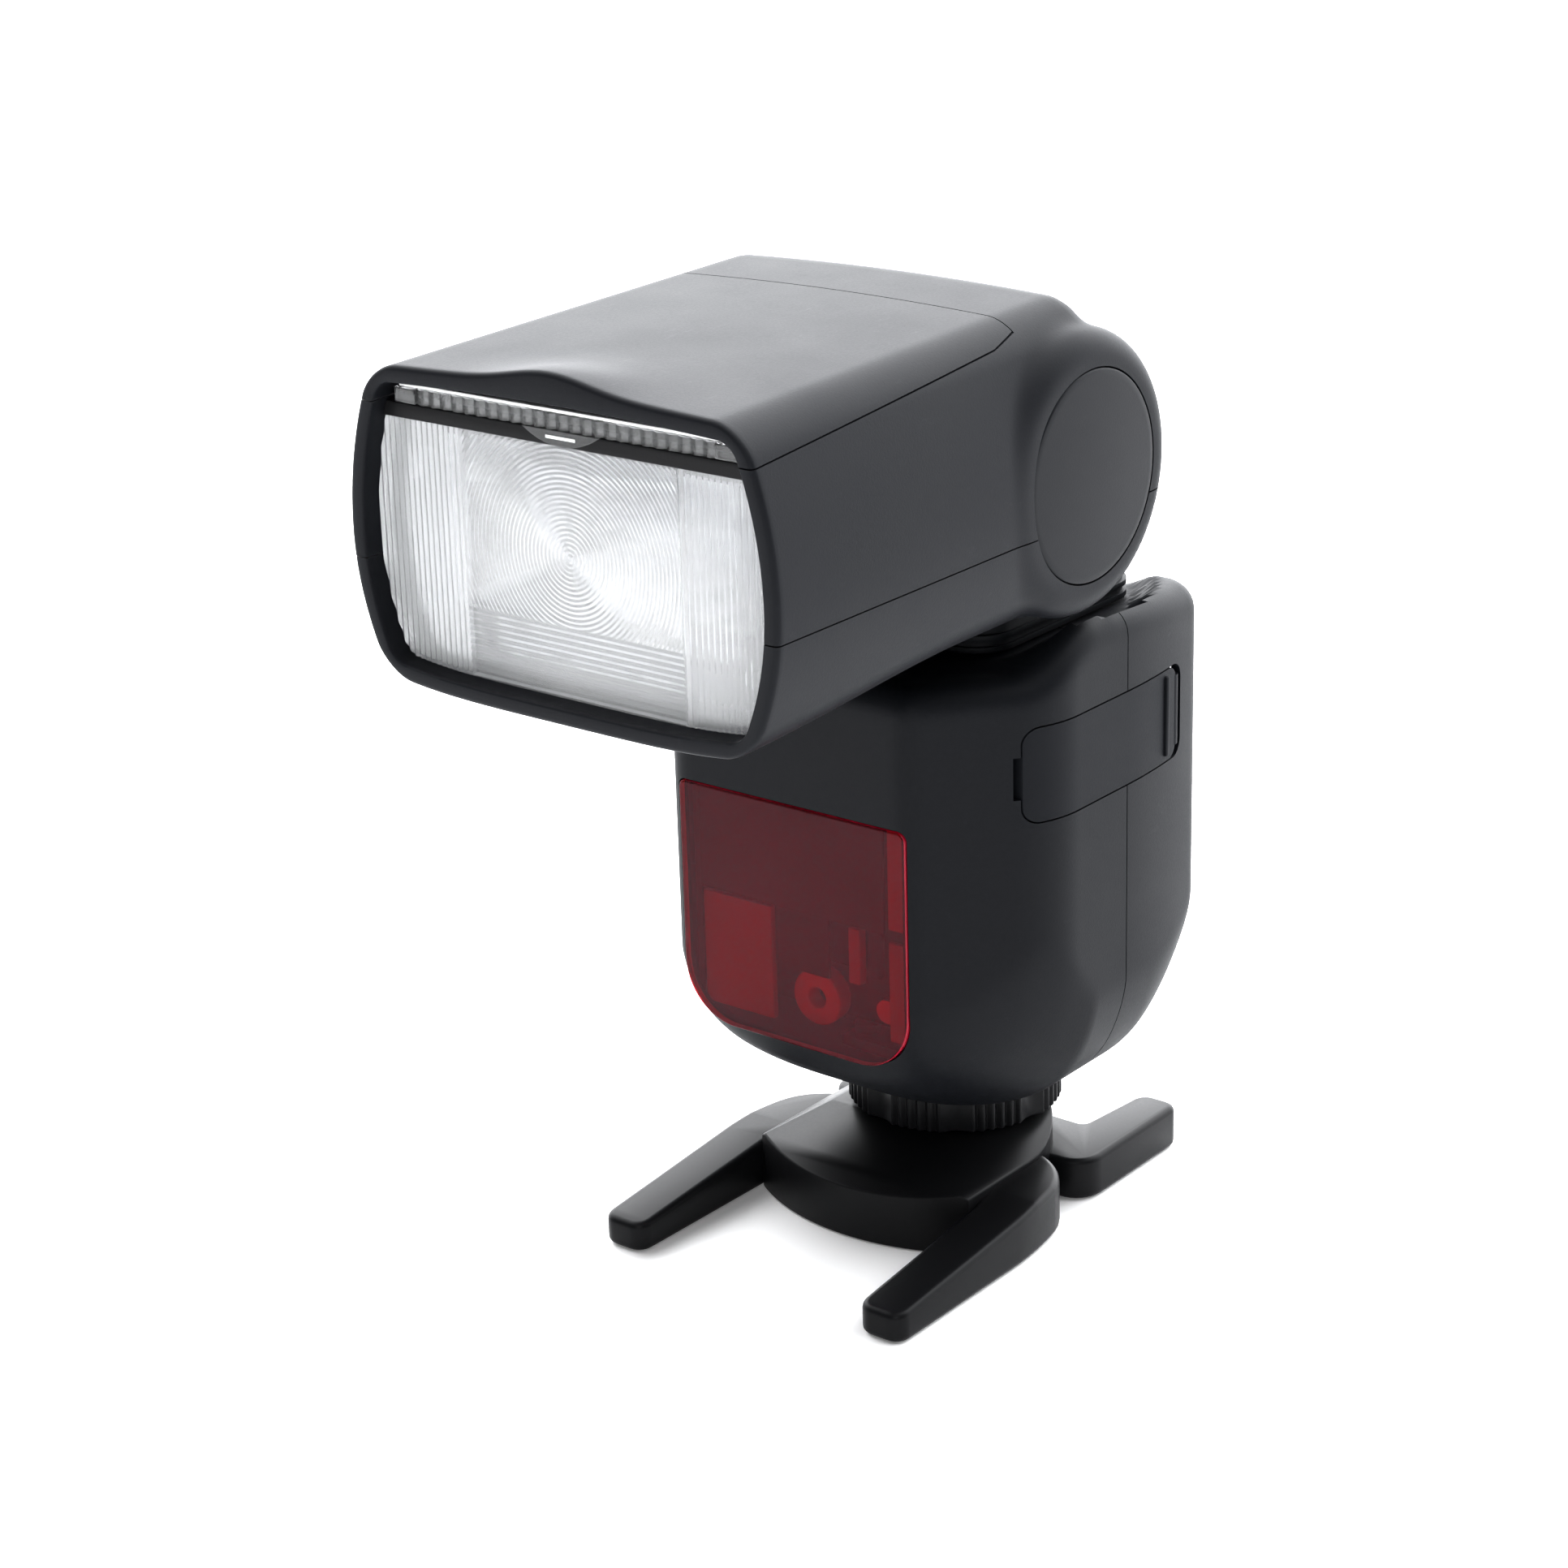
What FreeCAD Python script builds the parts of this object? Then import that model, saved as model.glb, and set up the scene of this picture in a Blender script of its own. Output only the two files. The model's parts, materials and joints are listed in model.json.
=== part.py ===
import FreeCAD, Part
import Sketcher
import math
import os
import re

# Hot-shoe speedlight flash on its mini stand, millimetres, +Z up.
# Origin: mouth of the tripod thread under the stand, on the surface that it stands on.
# The flash looks along -Y; +X is its left side, where the port cover is.

DIMENSIONS = {
    "stand hub and legs": {
        "hub_half_width": 20.3, "hub_front": 31, "hub_rear": 12, "hub_wall_height": 8.7,
        "hub_corner": 13, "leg_tip_y": 54.5, "leg_tip_inner": 20.8, "leg_tip_outer": 29.2,
        "leg_root_front": 26.5, "leg_root_rear": 12, "leg_elbow_outer": 27.8,
        "leg_elbow_inner": 18.2, "leg_tip_height": 4.8, "leg_elbow_height": 8,
        "leg_corner": 3.4, "foot_arm_front": 2, "foot_arm_rear": 6, "rear_foot_inner": 18.5,
        "rear_foot_outer": 26, "rear_foot_y": 27, "rear_foot_height": 7, "rear_foot_corner": 3,
        "insert_radius": 4, "insert_length": 6.5, "thread_bore": 2.55,
    },
    "shoe and foot": {
        "foot_width": 18.6, "foot_length": 18, "foot_thickness": 2, "foot_neck_width": 12,
        "shoe_floor": 8.9, "shoe_play": 0.15, "rail_thickness": 1.6, "rail_half_width": 12.4,
        "neck_play": 0.3, "collar_radius": 9, "collar_play": 0.1, "flange_half_width": 13.5,
        "flange_front": 12, "flange_rear": 8, "flange_thickness": 2, "contact_width": 9,
        "contact_length": 10, "pin_radius": 0.5,
        "pin_play": 0.05, "pin_reach": 0.5, "pin_channel_depth": 1,
        "pin_channel_half_width": 4.6, "foot_screw_radius": 1.3, "foot_screw_x": 11.3,
        "foot_screw_front": 8, "foot_screw_rear": 5,
    },
    "locking ring": {
        "ring_radius": 17.3, "ring_bottom": 13.4, "ring_top": 19.4, "washer_radius": 12,
        "washer_thickness": 0.9, "washer_drop": 0.4, "washer_reserve": 0.1,
        "scallop_radius": 11, "scallop_depth": 0.9, "rib_radius": 0.55,
    },
    "lower body": {
        "body_half_width": 36, "nose_reach": 41, "nose_half_width": 21.5, "nose_corner": 5,
        "cheek_width": 29.5, "cheek_reach": 35, "side_reach": 24, "seam_y": 5,
        "rear_reach": 22, "rear_half_width": 26, "rear_side_width": 33.7, "rear_side_y": 14,
        "body_floor": 20, "floor_front_y": 15, "floor_rear_y": 9, "nose_bottom": 34,
        "rear_wall_bottom": 42, "rear_chamfer_y": 15, "rear_chamfer_height": 30,
        "floor_half_width": 15, "bowl_width": 26, "bowl_height": 24, "side_bottom": 44,
        "nose_top": 91, "shoulder_front": 37, "shoulder_low": 96.2, "slope_front": 27,
        "slope_rear": 15, "shoulder_top": 102.2, "rear_top": 99.5, "rear_top_corner": 3,
        "side_corner": 5, "shell_wall": 1.8, "seam_gap": 0.2, "edge_round": 4,
        "valley_floor": 97, "valley_half_width": 31,
    },
    "front window": {
        "window_half_width": 21.3, "window_bottom": 36, "window_top": 75, "window_corner": 9,
        "window_thickness": 1.5, "window_gap": 0.15, "lamp_height": 42, "lamp_radius": 4.5,
        "lamp_bore": 1.6, "lamp_length": 3, "chassis_depth": 8, "chassis_wall": 1.2,
        "sensor_width": 9, "sensor_height": 10, "window_screw_x": 12,
    },
    "port cover": {
        "port_low": 74.6, "port_high": 89.3, "port_front": 31, "port_hinge_y": 9.9,
        "port_hinge_x": 33.5, "port_barrel": 1.3, "port_pin": 0.5, "pin_fit": 0.05,
        "port_gap": 0.3, "port_corner": 2.5, "grip_y": 6.6,
        "nail_low": 78.5, "nail_high": 85, "nail_depth": 1.2, "jack_radius": 3.4,
        "jack_bore": 1.3, "jack_length": 9, "port_face": 31, "usb_width": 8.5, "usb_height": 3.4,
    },
    "battery": {
        "battery_low": 46, "battery_high": 86, "battery_front": 12, "battery_rear": 9,
        "battery_inner": 12, "battery_play": 0.4, "bay_wall": 1, "cap_margin": 3.6,
        "latch_length": 12, "latch_width": 6, "terminal_size": 3,
    },
    "back panel": {
        "screen_half_width": 23, "screen_low": 70, "screen_high": 95, "screen_thickness": 1.6,
        "screen_gap": 0.15, "screen_rise": 0.25, "module_depth": 3.6, "key_rise": 0.9,
        "key_travel": 0.6, "key_gap": 0.2, "key_flange": 0.7, "key_flange_thickness": 0.6,
        "function_row": 65, "function_pitch": 11.4, "function_width": 8.4,
        "function_height": 3.8, "side_key_x": 20.6, "side_key_high": 56.5, "side_key_low": 47.5,
        "side_key_radius": 3, "dial_height": 51.5, "dial_radius": 9.5, "dial_rise": 1.8,
        "dial_hub_radius": 5.7, "set_key_radius": 4.5, "switch_width": 4, "switch_height": 3,
        "switch_travel": 2.4, "keypad_thickness": 0.8, "board_thickness": 1.6,
    },
    "inside the body": {
        "board_half_width": 29, "board_low": 36, "board_high": 84, "board_y": 14.6,
        "capacitor_radius": 8, "capacitor_x": 23.4, "capacitor_y": 3, "capacitor_low": 42,
        "capacitor_high": 75, "boss_wall": 2, "body_screw_radius": 1.2, "body_screw_length": 9,
    },
    "turret": {
        "swivel_y": 4, "turret_half_width": 24, "turret_half_depth": 20, "turret_corner": 6,
        "turret_gap": 0.6, "turret_back_height": 108, "turret_slope_y": 3,
        "turret_slope_height": 118, "journal_radius": 17, "journal_play": 0.1,
        "retainer_radius": 20, "retainer_thickness": 1.6, "cable_bore": 7,
        "cable_bore_top": 112,
        "knuckle_radius": 19.5, "knuckle_half_width": 26.4, "rim_rise": 0.6, "rim_width": 0.8,
    },
    "head": {
        "head_front": 89, "pivot_y": 16.5, "pivot_z": 124.9, "ear_radius": 20.7,
        "ear_half_width": 37.2, "ear_inner": 27.2, "ear_rim": 17, "cap_radius": 15.5,
        "cap_half_width": 38.1, "cap_gap": 0.15, "boss_radius": 9, "axle_radius": 5,
        "axle_play": 0.05, "seam_z": 122.6, "head_gap": 0.2, "head_bottom": 101.2,
        "head_rear_bottom": 104.1, "head_top": 148.2, "head_rear_top": 149.8,
        "head_widest": 38.2, "head_low_width": 35.6, "head_low_height": 109,
        "head_bottom_width": 30.5, "head_side_low": 104.6, "head_side_low_width": 33.6,
        "head_high_width": 36.7, "head_high_height": 136, "head_side_high": 142.5,
        "head_side_high_width": 35, "head_shoulder_width": 32.8, "head_shoulder": 146.6,
        "head_crown_width": 29.5, "head_wall": 1.8, "rim_wall": 3.4, "rim_depth": 7,
        "top_rear_y": 11, "throat_y": 40, "knuckle_gap": 1.2, "top_seam_y": 27.5,
        "top_seam_front": 141.7, "top_seam_rear": 146, "brow_half_width": 19,
        "brow_rise": 2.1, "brow_length": 16,
    },
    "optics": {
        "lens_half_width": 32, "lens_low": 106, "lens_high": 139.4, "lens_thickness": 2,
        "lens_set_back": 3.6, "bezel_thickness": 3, "panel_half_width": 30.2,
        "panel_height": 141.7, "panel_thickness": 1, "panel_length": 44, "panel_lip": 2.2,
        "panel_set_back": 2.4, "card_thickness": 0.5, "card_gap": 0.3,
        "tab_radius": 12, "tab_half_width": 9.2, "tab_drop": 2.3, "slot_gap": 0.3,
        "reflector_half_width": 25.5, "reflector_half_height": 13, "reflector_front": 72,
        "reflector_rear": 57, "reflector_wall": 0.8, "tube_radius": 1.8,
        "zoom_back": 12, "rail_radius": 1.2, "rail_x": 29.4, "rail_z": 111, "rail_play": 0.1,
        "screw_radius": 1.5, "screw_z": 131, "motor_radius": 2.6, "motor_length": 11,
        "carriage_lug": 3.4,
    },
}

doc = FreeCAD.newDocument("speedlight")
sheet = doc.addObject("Spreadsheet::Sheet", "Dimensions")
VALUES = {}
row = 1
for group, cells in DIMENSIONS.items():
    sheet.set(f"A{row}", group)
    row += 1
    for alias, number in cells.items():
        sheet.set(f"A{row}", alias.replace("_", " "))
        sheet.set(f"B{row}", str(number))
        sheet.setAlias(f"B{row}", alias)
        VALUES[alias] = number
        row += 1
doc.recompute()

AXES = {"x": FreeCAD.Rotation(FreeCAD.Vector(0, 1, 0), 90),
        "y": FreeCAD.Rotation(FreeCAD.Vector(1, 0, 0), -90),
        "z": FreeCAD.Rotation()}
nodes = []


# ---------------------------------------------------------------- helpers

def bound(expression):
    """Names of sheet cells in an expression get the sheet's name in front."""
    def cell(match):
        return "Dimensions." + match[0] if match[0] in VALUES else match[0]
    return re.sub(r"[a-z]\w*", cell, str(expression))


def bind(thing, **sizes):
    for name, expression in sizes.items():
        thing.setExpression(name, bound(expression))


def place(thing, x, y, z):
    for name, expression in (("x", x), ("y", y), ("z", z)):
        thing.setExpression("Placement.Base." + name, bound(expression))


def block(name, x, y, z):
    """Box from a low and a high expression along each axis."""
    box = doc.addObject("Part::Box", name)
    bind(box, Length=f"({x[1]})-({x[0]})", Width=f"({y[1]})-({y[0]})",
         Height=f"({z[1]})-({z[0]})")
    place(box, x[0], y[0], z[0])
    return box


def rod(name, axis, radius, low, high, x="0", y="0", z="0"):
    """Cylinder along an axis, from low to high on it; the other two place its middle."""
    cylinder = doc.addObject("Part::Cylinder", name)
    cylinder.Placement.Rotation = AXES[axis]
    bind(cylinder, Radius=radius, Height=f"({high})-({low})")
    middle = {"x": x, "y": y, "z": z}
    middle[axis] = low
    place(cylinder, middle["x"], middle["y"], middle["z"])
    return cylinder


def cone(name, axis, radius_low, radius_high, low, high, x="0", y="0", z="0"):
    solid = doc.addObject("Part::Cone", name)
    solid.Placement.Rotation = AXES[axis]
    bind(solid, Radius1=radius_low, Radius2=radius_high, Height=f"({high})-({low})")
    middle = {"x": x, "y": y, "z": z}
    middle[axis] = low
    place(solid, middle["x"], middle["y"], middle["z"])
    return solid


def fuse(name, *solids):
    joined = doc.addObject("Part::MultiFuse", name)
    joined.Shapes = list(solids)
    return joined


def common(name, *solids):
    shared = doc.addObject("Part::MultiCommon", name)
    shared.Shapes = list(solids)
    return shared


def cut(name, base, *tools):
    """The first solid less all the others."""
    left = doc.addObject("Part::Cut", name)
    left.Base = base
    left.Tool = tools[0] if len(tools) == 1 else fuse(name + "_tools", *tools)
    return left


def group(name, *solids):
    """Several like pieces in one node, each its own solid."""
    together = doc.addObject("Part::Compound", name)
    together.Links = list(solids)
    return together


def node(label, solid):
    solid.Label = label
    nodes.append(solid)
    return solid


def prism(name, plane, outline, low, high, rounds=()):
    """Body padded from a closed outline of straight sides.

    plane is XY, XZ or YZ; outline lists two expressions for each corner; low and high are
    along the plane's third axis; rounds lists (radius, corners) for the long edges.
    """
    body = doc.addObject("PartDesign::Body", name)
    sketch = body.newObject("Sketcher::SketchObject", name + "_outline")
    role = plane + "_Plane"
    origin_plane = [item for item in body.Origin.OriginFeatures if item.Role == role][0]
    sketch.AttachmentSupport = [(origin_plane, "")]
    sketch.MapMode = "FlatFace"
    count = len(outline)
    start = [(10 * math.cos(math.tau * i / count), 10 * math.sin(math.tau * i / count))
             for i in range(count)]
    for i in range(count):
        first = FreeCAD.Vector(*start[i], 0)
        second = FreeCAD.Vector(*start[(i + 1) % count], 0)
        sketch.addGeometry(Part.LineSegment(first, second), False)
    for i in range(count):
        sketch.addConstraint(Sketcher.Constraint("Coincident", i, 2, (i + 1) % count, 1))
    for i, corner in enumerate(outline):
        for kind, expression, guess in zip(("DistanceX", "DistanceY"), corner, start[i]):
            index = sketch.addConstraint(Sketcher.Constraint(kind, -1, 1, i, 1, guess))
            sketch.setExpression(f"Constraints[{index}]", bound(expression))
    offset = f"-({high})" if plane == "XZ" else low
    sketch.setExpression("AttachmentOffset.Base.z", bound(offset))
    pad = body.newObject("PartDesign::Pad", name + "_pad")
    pad.Profile = sketch
    bind(pad, Length=f"({high})-({low})")
    body.Tip = pad
    doc.recompute()
    for number, (radius, corners) in enumerate(rounds):
        round_long_edges(body, sketch, f"{name}_round_{number}", radius, corners)
    return body


def round_long_edges(body, sketch, name, radius, corners):
    """Fillet on the long edges of a prism that stand on some of its outline's corners."""
    base = body.Tip
    normal = sketch.getGlobalPlacement().Rotation.multVec(FreeCAD.Vector(0, 0, 1))
    wanted = [sketch.getGlobalPlacement().multVec(sketch.Geometry[i].StartPoint)
              for i in corners]
    edges = []
    for number, edge in enumerate(base.Shape.Edges, 1):
        along = edge.Vertexes[-1].Point - edge.Vertexes[0].Point
        if along.cross(normal).Length > 0.01 * along.Length:
            continue
        for point in wanted:
            if (edge.Vertexes[0].Point - point).cross(normal).Length < 0.01:
                edges.append(f"Edge{number}")
    fillet = body.newObject("PartDesign::Fillet", name)
    fillet.Base = (base, edges)
    bind(fillet, Radius=radius)
    body.Tip = fillet
    doc.recompute()


def mirrored(outline):
    """Right half of an outline, bottom to top, completed with its mirror image in X."""
    return list(outline) + [(f"-({x})", other) for x, other in reversed(outline)]


def inset(outline, wall):
    """Outline moved inwards: each corner is (x, y, x_sign, y_sign)."""
    return [(f"({x})-({sx})*({wall})", f"({y})-({sy})*({wall})") for x, y, sx, sy in outline]


def sided(side, expression):
    return f"{side}*({expression})"


def side_block(name, side, x, y, z):
    """Block whose X limits are given for the +X side and mirrored when side is -1."""
    limits = x if side > 0 else (f"-({x[1]})", f"-({x[0]})")
    return block(name, limits, y, z)


def side_rod(name, side, radius, low, high, y, z):
    """Rod along X on one side."""
    if side > 0:
        return rod(name, "x", radius, low, high, y=y, z=z)
    return rod(name, "x", radius, f"-({high})", f"-({low})", y=y, z=z)


# ---------------------------------------------------------------- stand

FOOT_BOTTOM = "(shoe_floor+shoe_play)"
FOOT_TOP = f"({FOOT_BOTTOM}+foot_thickness)"
RAIL_BOTTOM = f"({FOOT_TOP}+shoe_play)"
RAIL_TOP = f"({RAIL_BOTTOM}+rail_thickness)"
SHOE_FRONT = "(-foot_length/2-neck_play)"


def make_stand():
    plan = prism("hub_plan", "XY", [
        ("-hub_half_width", "-hub_front"), ("hub_half_width", "-hub_front"),
        ("hub_half_width", "hub_rear"), ("-hub_half_width", "hub_rear")],
        "0", RAIL_TOP, [("hub_corner", (0, 1)), ("hub_rear*0.8", (2, 3))])
    side = prism("hub_side", "YZ", [
        ("-hub_front", "0"), ("hub_rear", "0"), ("hub_rear", RAIL_TOP),
        ("-rail_half_width", RAIL_TOP), ("-hub_front", "hub_wall_height")],
        "-hub_half_width", "hub_half_width")
    front = prism("hub_face", "XZ", [
        ("-hub_half_width", "0"), ("hub_half_width", "0"),
        ("hub_half_width", "hub_wall_height"), ("rail_half_width", RAIL_TOP),
        ("-rail_half_width", RAIL_TOP), ("-hub_half_width", "hub_wall_height")],
        "-hub_front", "hub_rear")
    pieces = [common("hub", plan, side, front)]
    for side_name, way in (("left", 1), ("right", -1)):
        leg_plan = prism(f"leg_plan_{side_name}", "XY", [
            (sided(way, "rail_half_width"), "-leg_root_rear"),
            (sided(way, "leg_elbow_outer"), "-leg_root_rear"),
            (sided(way, "leg_tip_outer"), "-leg_tip_y"),
            (sided(way, "leg_tip_inner"), "-leg_tip_y"),
            (sided(way, "leg_elbow_inner"), "-leg_root_front"),
            (sided(way, "rail_half_width"), "-leg_root_front")],
            "0", "leg_elbow_height", [("leg_corner*1.5", (1,)), ("leg_corner", (2, 3))])
        leg_side = prism(f"leg_side_{side_name}", "YZ", [
            ("-leg_tip_y", "0"), ("0", "0"), ("0", "leg_elbow_height"),
            ("-leg_root_front", "leg_elbow_height-0.3"), ("-leg_tip_y", "leg_tip_height")],
            "-leg_tip_outer", "leg_tip_outer")
        pieces.append(common(f"leg_{side_name}", leg_plan, leg_side))
        pieces.append(prism(f"rear_foot_{side_name}", "XY", [
            (sided(way, "rail_half_width"), "-foot_arm_front"),
            (sided(way, "rear_foot_outer"), "-foot_arm_front"),
            (sided(way, "rear_foot_outer"), "rear_foot_y"),
            (sided(way, "rear_foot_inner"), "rear_foot_y"),
            (sided(way, "rear_foot_inner"), "foot_arm_rear"),
            (sided(way, "rail_half_width"), "foot_arm_rear")],
            "0", "rear_foot_height", [("rear_foot_corner", (1, 2, 3))]))
    body = fuse("stand_body", *pieces)
    slot = block("shoe_slot", ("-foot_width/2-shoe_play", "foot_width/2+shoe_play"),
                 (SHOE_FRONT, "hub_rear+1"), ("shoe_floor", RAIL_BOTTOM))
    gap = block("rail_gap", ("-foot_neck_width/2-neck_play", "foot_neck_width/2+neck_play"),
                (SHOE_FRONT, "hub_rear+1"), ("shoe_floor", f"{RAIL_TOP}+1"))
    channel = block("pin_channel", ("-pin_channel_half_width", "pin_channel_half_width"),
                    ("-contact_length/2-1", "hub_rear+1"),
                    ("shoe_floor-pin_channel_depth", "shoe_floor+0.5"))
    bore = rod("insert_seat", "z", "insert_radius", "-1", "insert_length")
    node("stand_base", cut("stand_base", body, slot, gap, channel, bore))
    node("tripod_insert", cut("tripod_insert",
                              rod("insert_blank", "z", "insert_radius", "0", "insert_length"),
                              rod("insert_bore", "z", "thread_bore", "-1", "insert_length+1")))


# ---------------------------------------------------------------- foot and locking ring

COLLAR_BOTTOM = f"({RAIL_TOP}+0.2)"
FLOOR_TOP = "(body_floor+shell_wall)"
WASHER_BOTTOM = f"({RAIL_TOP}+washer_drop+washer_reserve)"
WASHER_TOP = f"({WASHER_BOTTOM}+washer_thickness)"
FOOT_SCREWS = [("foot_screw_x", "foot_screw_rear"), ("foot_screw_x", "-foot_screw_front"),
               ("-foot_screw_x", "foot_screw_rear"), ("-foot_screw_x", "-foot_screw_front")]
PIN_PLACES = [("0", "-1.6"), ("-2.9", "-3.4"), ("2.9", "-3.4"), ("-2.9", "2.6"), ("2.9", "2.6")]


def make_foot():
    plate = block("foot_blank", ("-foot_width/2", "foot_width/2"),
                  ("-foot_length/2", "foot_length/2"), (FOOT_BOTTOM, FOOT_TOP))
    neck = block("foot_neck", ("-foot_neck_width/2", "foot_neck_width/2"),
                 ("-foot_neck_width/2", "foot_neck_width/2"), (FOOT_BOTTOM, FLOOR_TOP))
    collar = rod("foot_collar", "z", "collar_radius", COLLAR_BOTTOM, FLOOR_TOP)
    flange = block("foot_flange", ("-flange_half_width", "flange_half_width"),
                   ("-flange_front", "flange_rear"),
                   (FLOOR_TOP, f"{FLOOR_TOP}+flange_thickness"))
    pocket = block("contact_pocket", ("-contact_width/2", "contact_width/2"),
                   ("-contact_length/2", "contact_length/2"),
                   ("0", f"{FLOOR_TOP}+flange_thickness+1"))
    shanks = []
    screws = []
    for number, (x, y) in enumerate(FOOT_SCREWS, 1):
        shanks.append(rod(f"flange_hole_{number}", "z", "foot_screw_radius", "body_floor+0.6",
                          f"{FLOOR_TOP}+flange_thickness+0.5", x=x, y=y))
        screws.append(fuse(
            f"foot_screw_{number}",
            rod(f"foot_screw_shank_{number}", "z", "foot_screw_radius", "body_floor+0.6",
                f"{FLOOR_TOP}+flange_thickness", x=x, y=y),
            rod(f"foot_screw_head_{number}", "z", "foot_screw_radius*1.7",
                f"{FLOOR_TOP}+flange_thickness", f"{FLOOR_TOP}+flange_thickness+1.4", x=x, y=y)))
    node("foot_plate", cut("foot_plate", fuse("foot_solid", plate, neck, collar, flange),
                           pocket, *shanks))
    node("foot_screws", group("foot_screws", *screws))
    insulator = block("contact_blank", ("-contact_width/2", "contact_width/2"),
                      ("-contact_length/2", "contact_length/2"),
                      (FOOT_BOTTOM, f"{FLOOR_TOP}+flange_thickness"))
    holes = [rod(f"pin_hole_{number}", "z", "pin_radius+pin_play", "0",
                 f"{FOOT_BOTTOM}+6", x=x, y=y) for number, (x, y) in enumerate(PIN_PLACES, 1)]
    node("contact_block", cut("contact_block", insulator, *holes))
    pins = [rod(f"contact_pin_{number}", "z", "pin_radius", f"{FOOT_BOTTOM}-pin_reach",
                f"{FOOT_BOTTOM}+5", x=x, y=y) for number, (x, y) in enumerate(PIN_PLACES, 1)]
    node("contact_pins", group("contact_pins", *pins))


def make_locking_ring():
    bore = rod("washer_bore", "z", "collar_radius+collar_play", "0", "ring_top+1")
    node("clamp_washer", cut("clamp_washer", rod("washer_blank", "z", "washer_radius",
                                                 WASHER_BOTTOM, WASHER_TOP), bore))
    blank = rod("ring_blank", "z", "ring_radius", "ring_bottom", "ring_top")
    tools = [rod("ring_bore", "z", "collar_radius+collar_play", "0", "ring_top+1"),
             rod("ring_recess", "z", "washer_radius+collar_play", "0", f"{WASHER_TOP}+0.05")]
    for lobe in range(6):
        turn = 60 * lobe
        reach = "ring_radius+scallop_radius-scallop_depth"
        tools.append(rod(f"scallop_{lobe}", "z", "scallop_radius", "0", "ring_top+1",
                         x=f"({reach})*cos({turn}deg)", y=f"({reach})*sin({turn}deg)"))
        for rib in range(-2, 3):
            angle = turn + 30 + 6.2 * rib
            tools.append(rod(f"rib_{lobe}_{rib + 2}", "z", "rib_radius", "0", "ring_top+1",
                             x=f"ring_radius*cos({angle}deg)", y=f"ring_radius*sin({angle}deg)"))
    node("locking_ring", cut("locking_ring", blank, *tools))


# ---------------------------------------------------------------- lower body

def body_solid(name, wall):
    """Outer form of the lower body, moved inwards by a wall."""
    side = inset([
        ("-nose_reach", "nose_bottom", -1, -0.5), ("-floor_front_y", "body_floor", 0, -1),
        ("floor_rear_y", "body_floor", 0, -1), ("rear_chamfer_y", "rear_chamfer_height", 0.7, -0.7),
        ("rear_reach", "rear_wall_bottom", 1, -0.3), ("rear_reach", "rear_top", 1, 1),
        ("-slope_rear", "shoulder_top", 0, 1), ("-slope_front", "shoulder_low", 0, 1),
        ("-shoulder_front", "shoulder_low-0.8", -0.5, 1), ("-nose_reach", "nose_top", -1, 0.6)],
        wall)
    plan = inset([
        ("nose_half_width", "-nose_reach", 0.4, -1), ("cheek_width", "-cheek_reach", 0.7, -0.7),
        ("body_half_width", "-side_reach", 1, -0.4), ("body_half_width", "-seam_y", 1, 0),
        ("rear_side_width", "rear_side_y", 1, 0), ("rear_half_width", "rear_reach", 0.5, 1)],
        wall)
    face = inset([
        ("floor_half_width", "body_floor", 0.3, -1), ("bowl_width", "bowl_height", 0.5, -0.9),
        ("body_half_width", "side_bottom", 1, -0.4),
        ("body_half_width", "shoulder_top-side_corner*0.5", 1, 0.4),
        ("body_half_width-side_corner*0.5", "shoulder_top", 0.4, 1)], wall)
    round_by = f"edge_round-{wall}"
    return common(
        name,
        prism(name + "_side", "YZ", side, "-body_half_width", "body_half_width",
              [(round_by, (0, 1, 3, 4)), (f"rear_top_corner-({wall})*0.5", (5,)),
               (round_by, (6, 7, 9))]),
        prism(name + "_plan", "XY", mirrored(plan), "0", "shoulder_top+5",
              [(f"nose_corner-{wall}", (0, 11)), (round_by, (1, 2, 9, 10)), (round_by, (4, 5, 6, 7))]),
        prism(name + "_face", "XZ", mirrored(face), "-nose_reach", "rear_reach",
              [(round_by, (1, 2, 7, 8)), (f"{round_by}", (0, 9))]))


def rounded_pocket(name, x, y, z, grow):
    """Side opening of the port cover, grown all round by a gap."""
    return prism(name, "YZ", [
        (f"{y[0]}-({grow})", f"{z[0]}-({grow})"), (f"{y[1]}+({grow})", f"{z[0]}-({grow})"),
        (f"{y[1]}+({grow})", f"{z[1]}+({grow})"), (f"{y[0]}-({grow})", f"{z[1]}+({grow})")],
        x[0], x[1], [(f"port_corner+({grow})", (0, 3))])


BODY_SCREWS = [("20", "27"), ("-20", "27"), ("26", "92.5"), ("-26", "92.5")]
BATTERY_CAP_Y = ("-battery_front-cap_margin", "battery_rear+cap_margin*0.6")
BATTERY_CAP_Z = ("battery_low-cap_margin", "battery_high+cap_margin*0.6")
TURRET_Y = "(-swivel_y)"
VALLEY_TOP = "valley_floor"
WINDOW_Z = ("window_bottom", "window_top")


def window_outline(grow):
    return mirrored([
        (f"window_half_width-window_corner*0.55+({grow})*0.4", f"window_bottom-({grow})"),
        (f"window_half_width+({grow})", f"window_bottom+window_corner*0.8-({grow})*0.4"),
        (f"window_half_width+({grow})", f"window_top+({grow})")])


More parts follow.
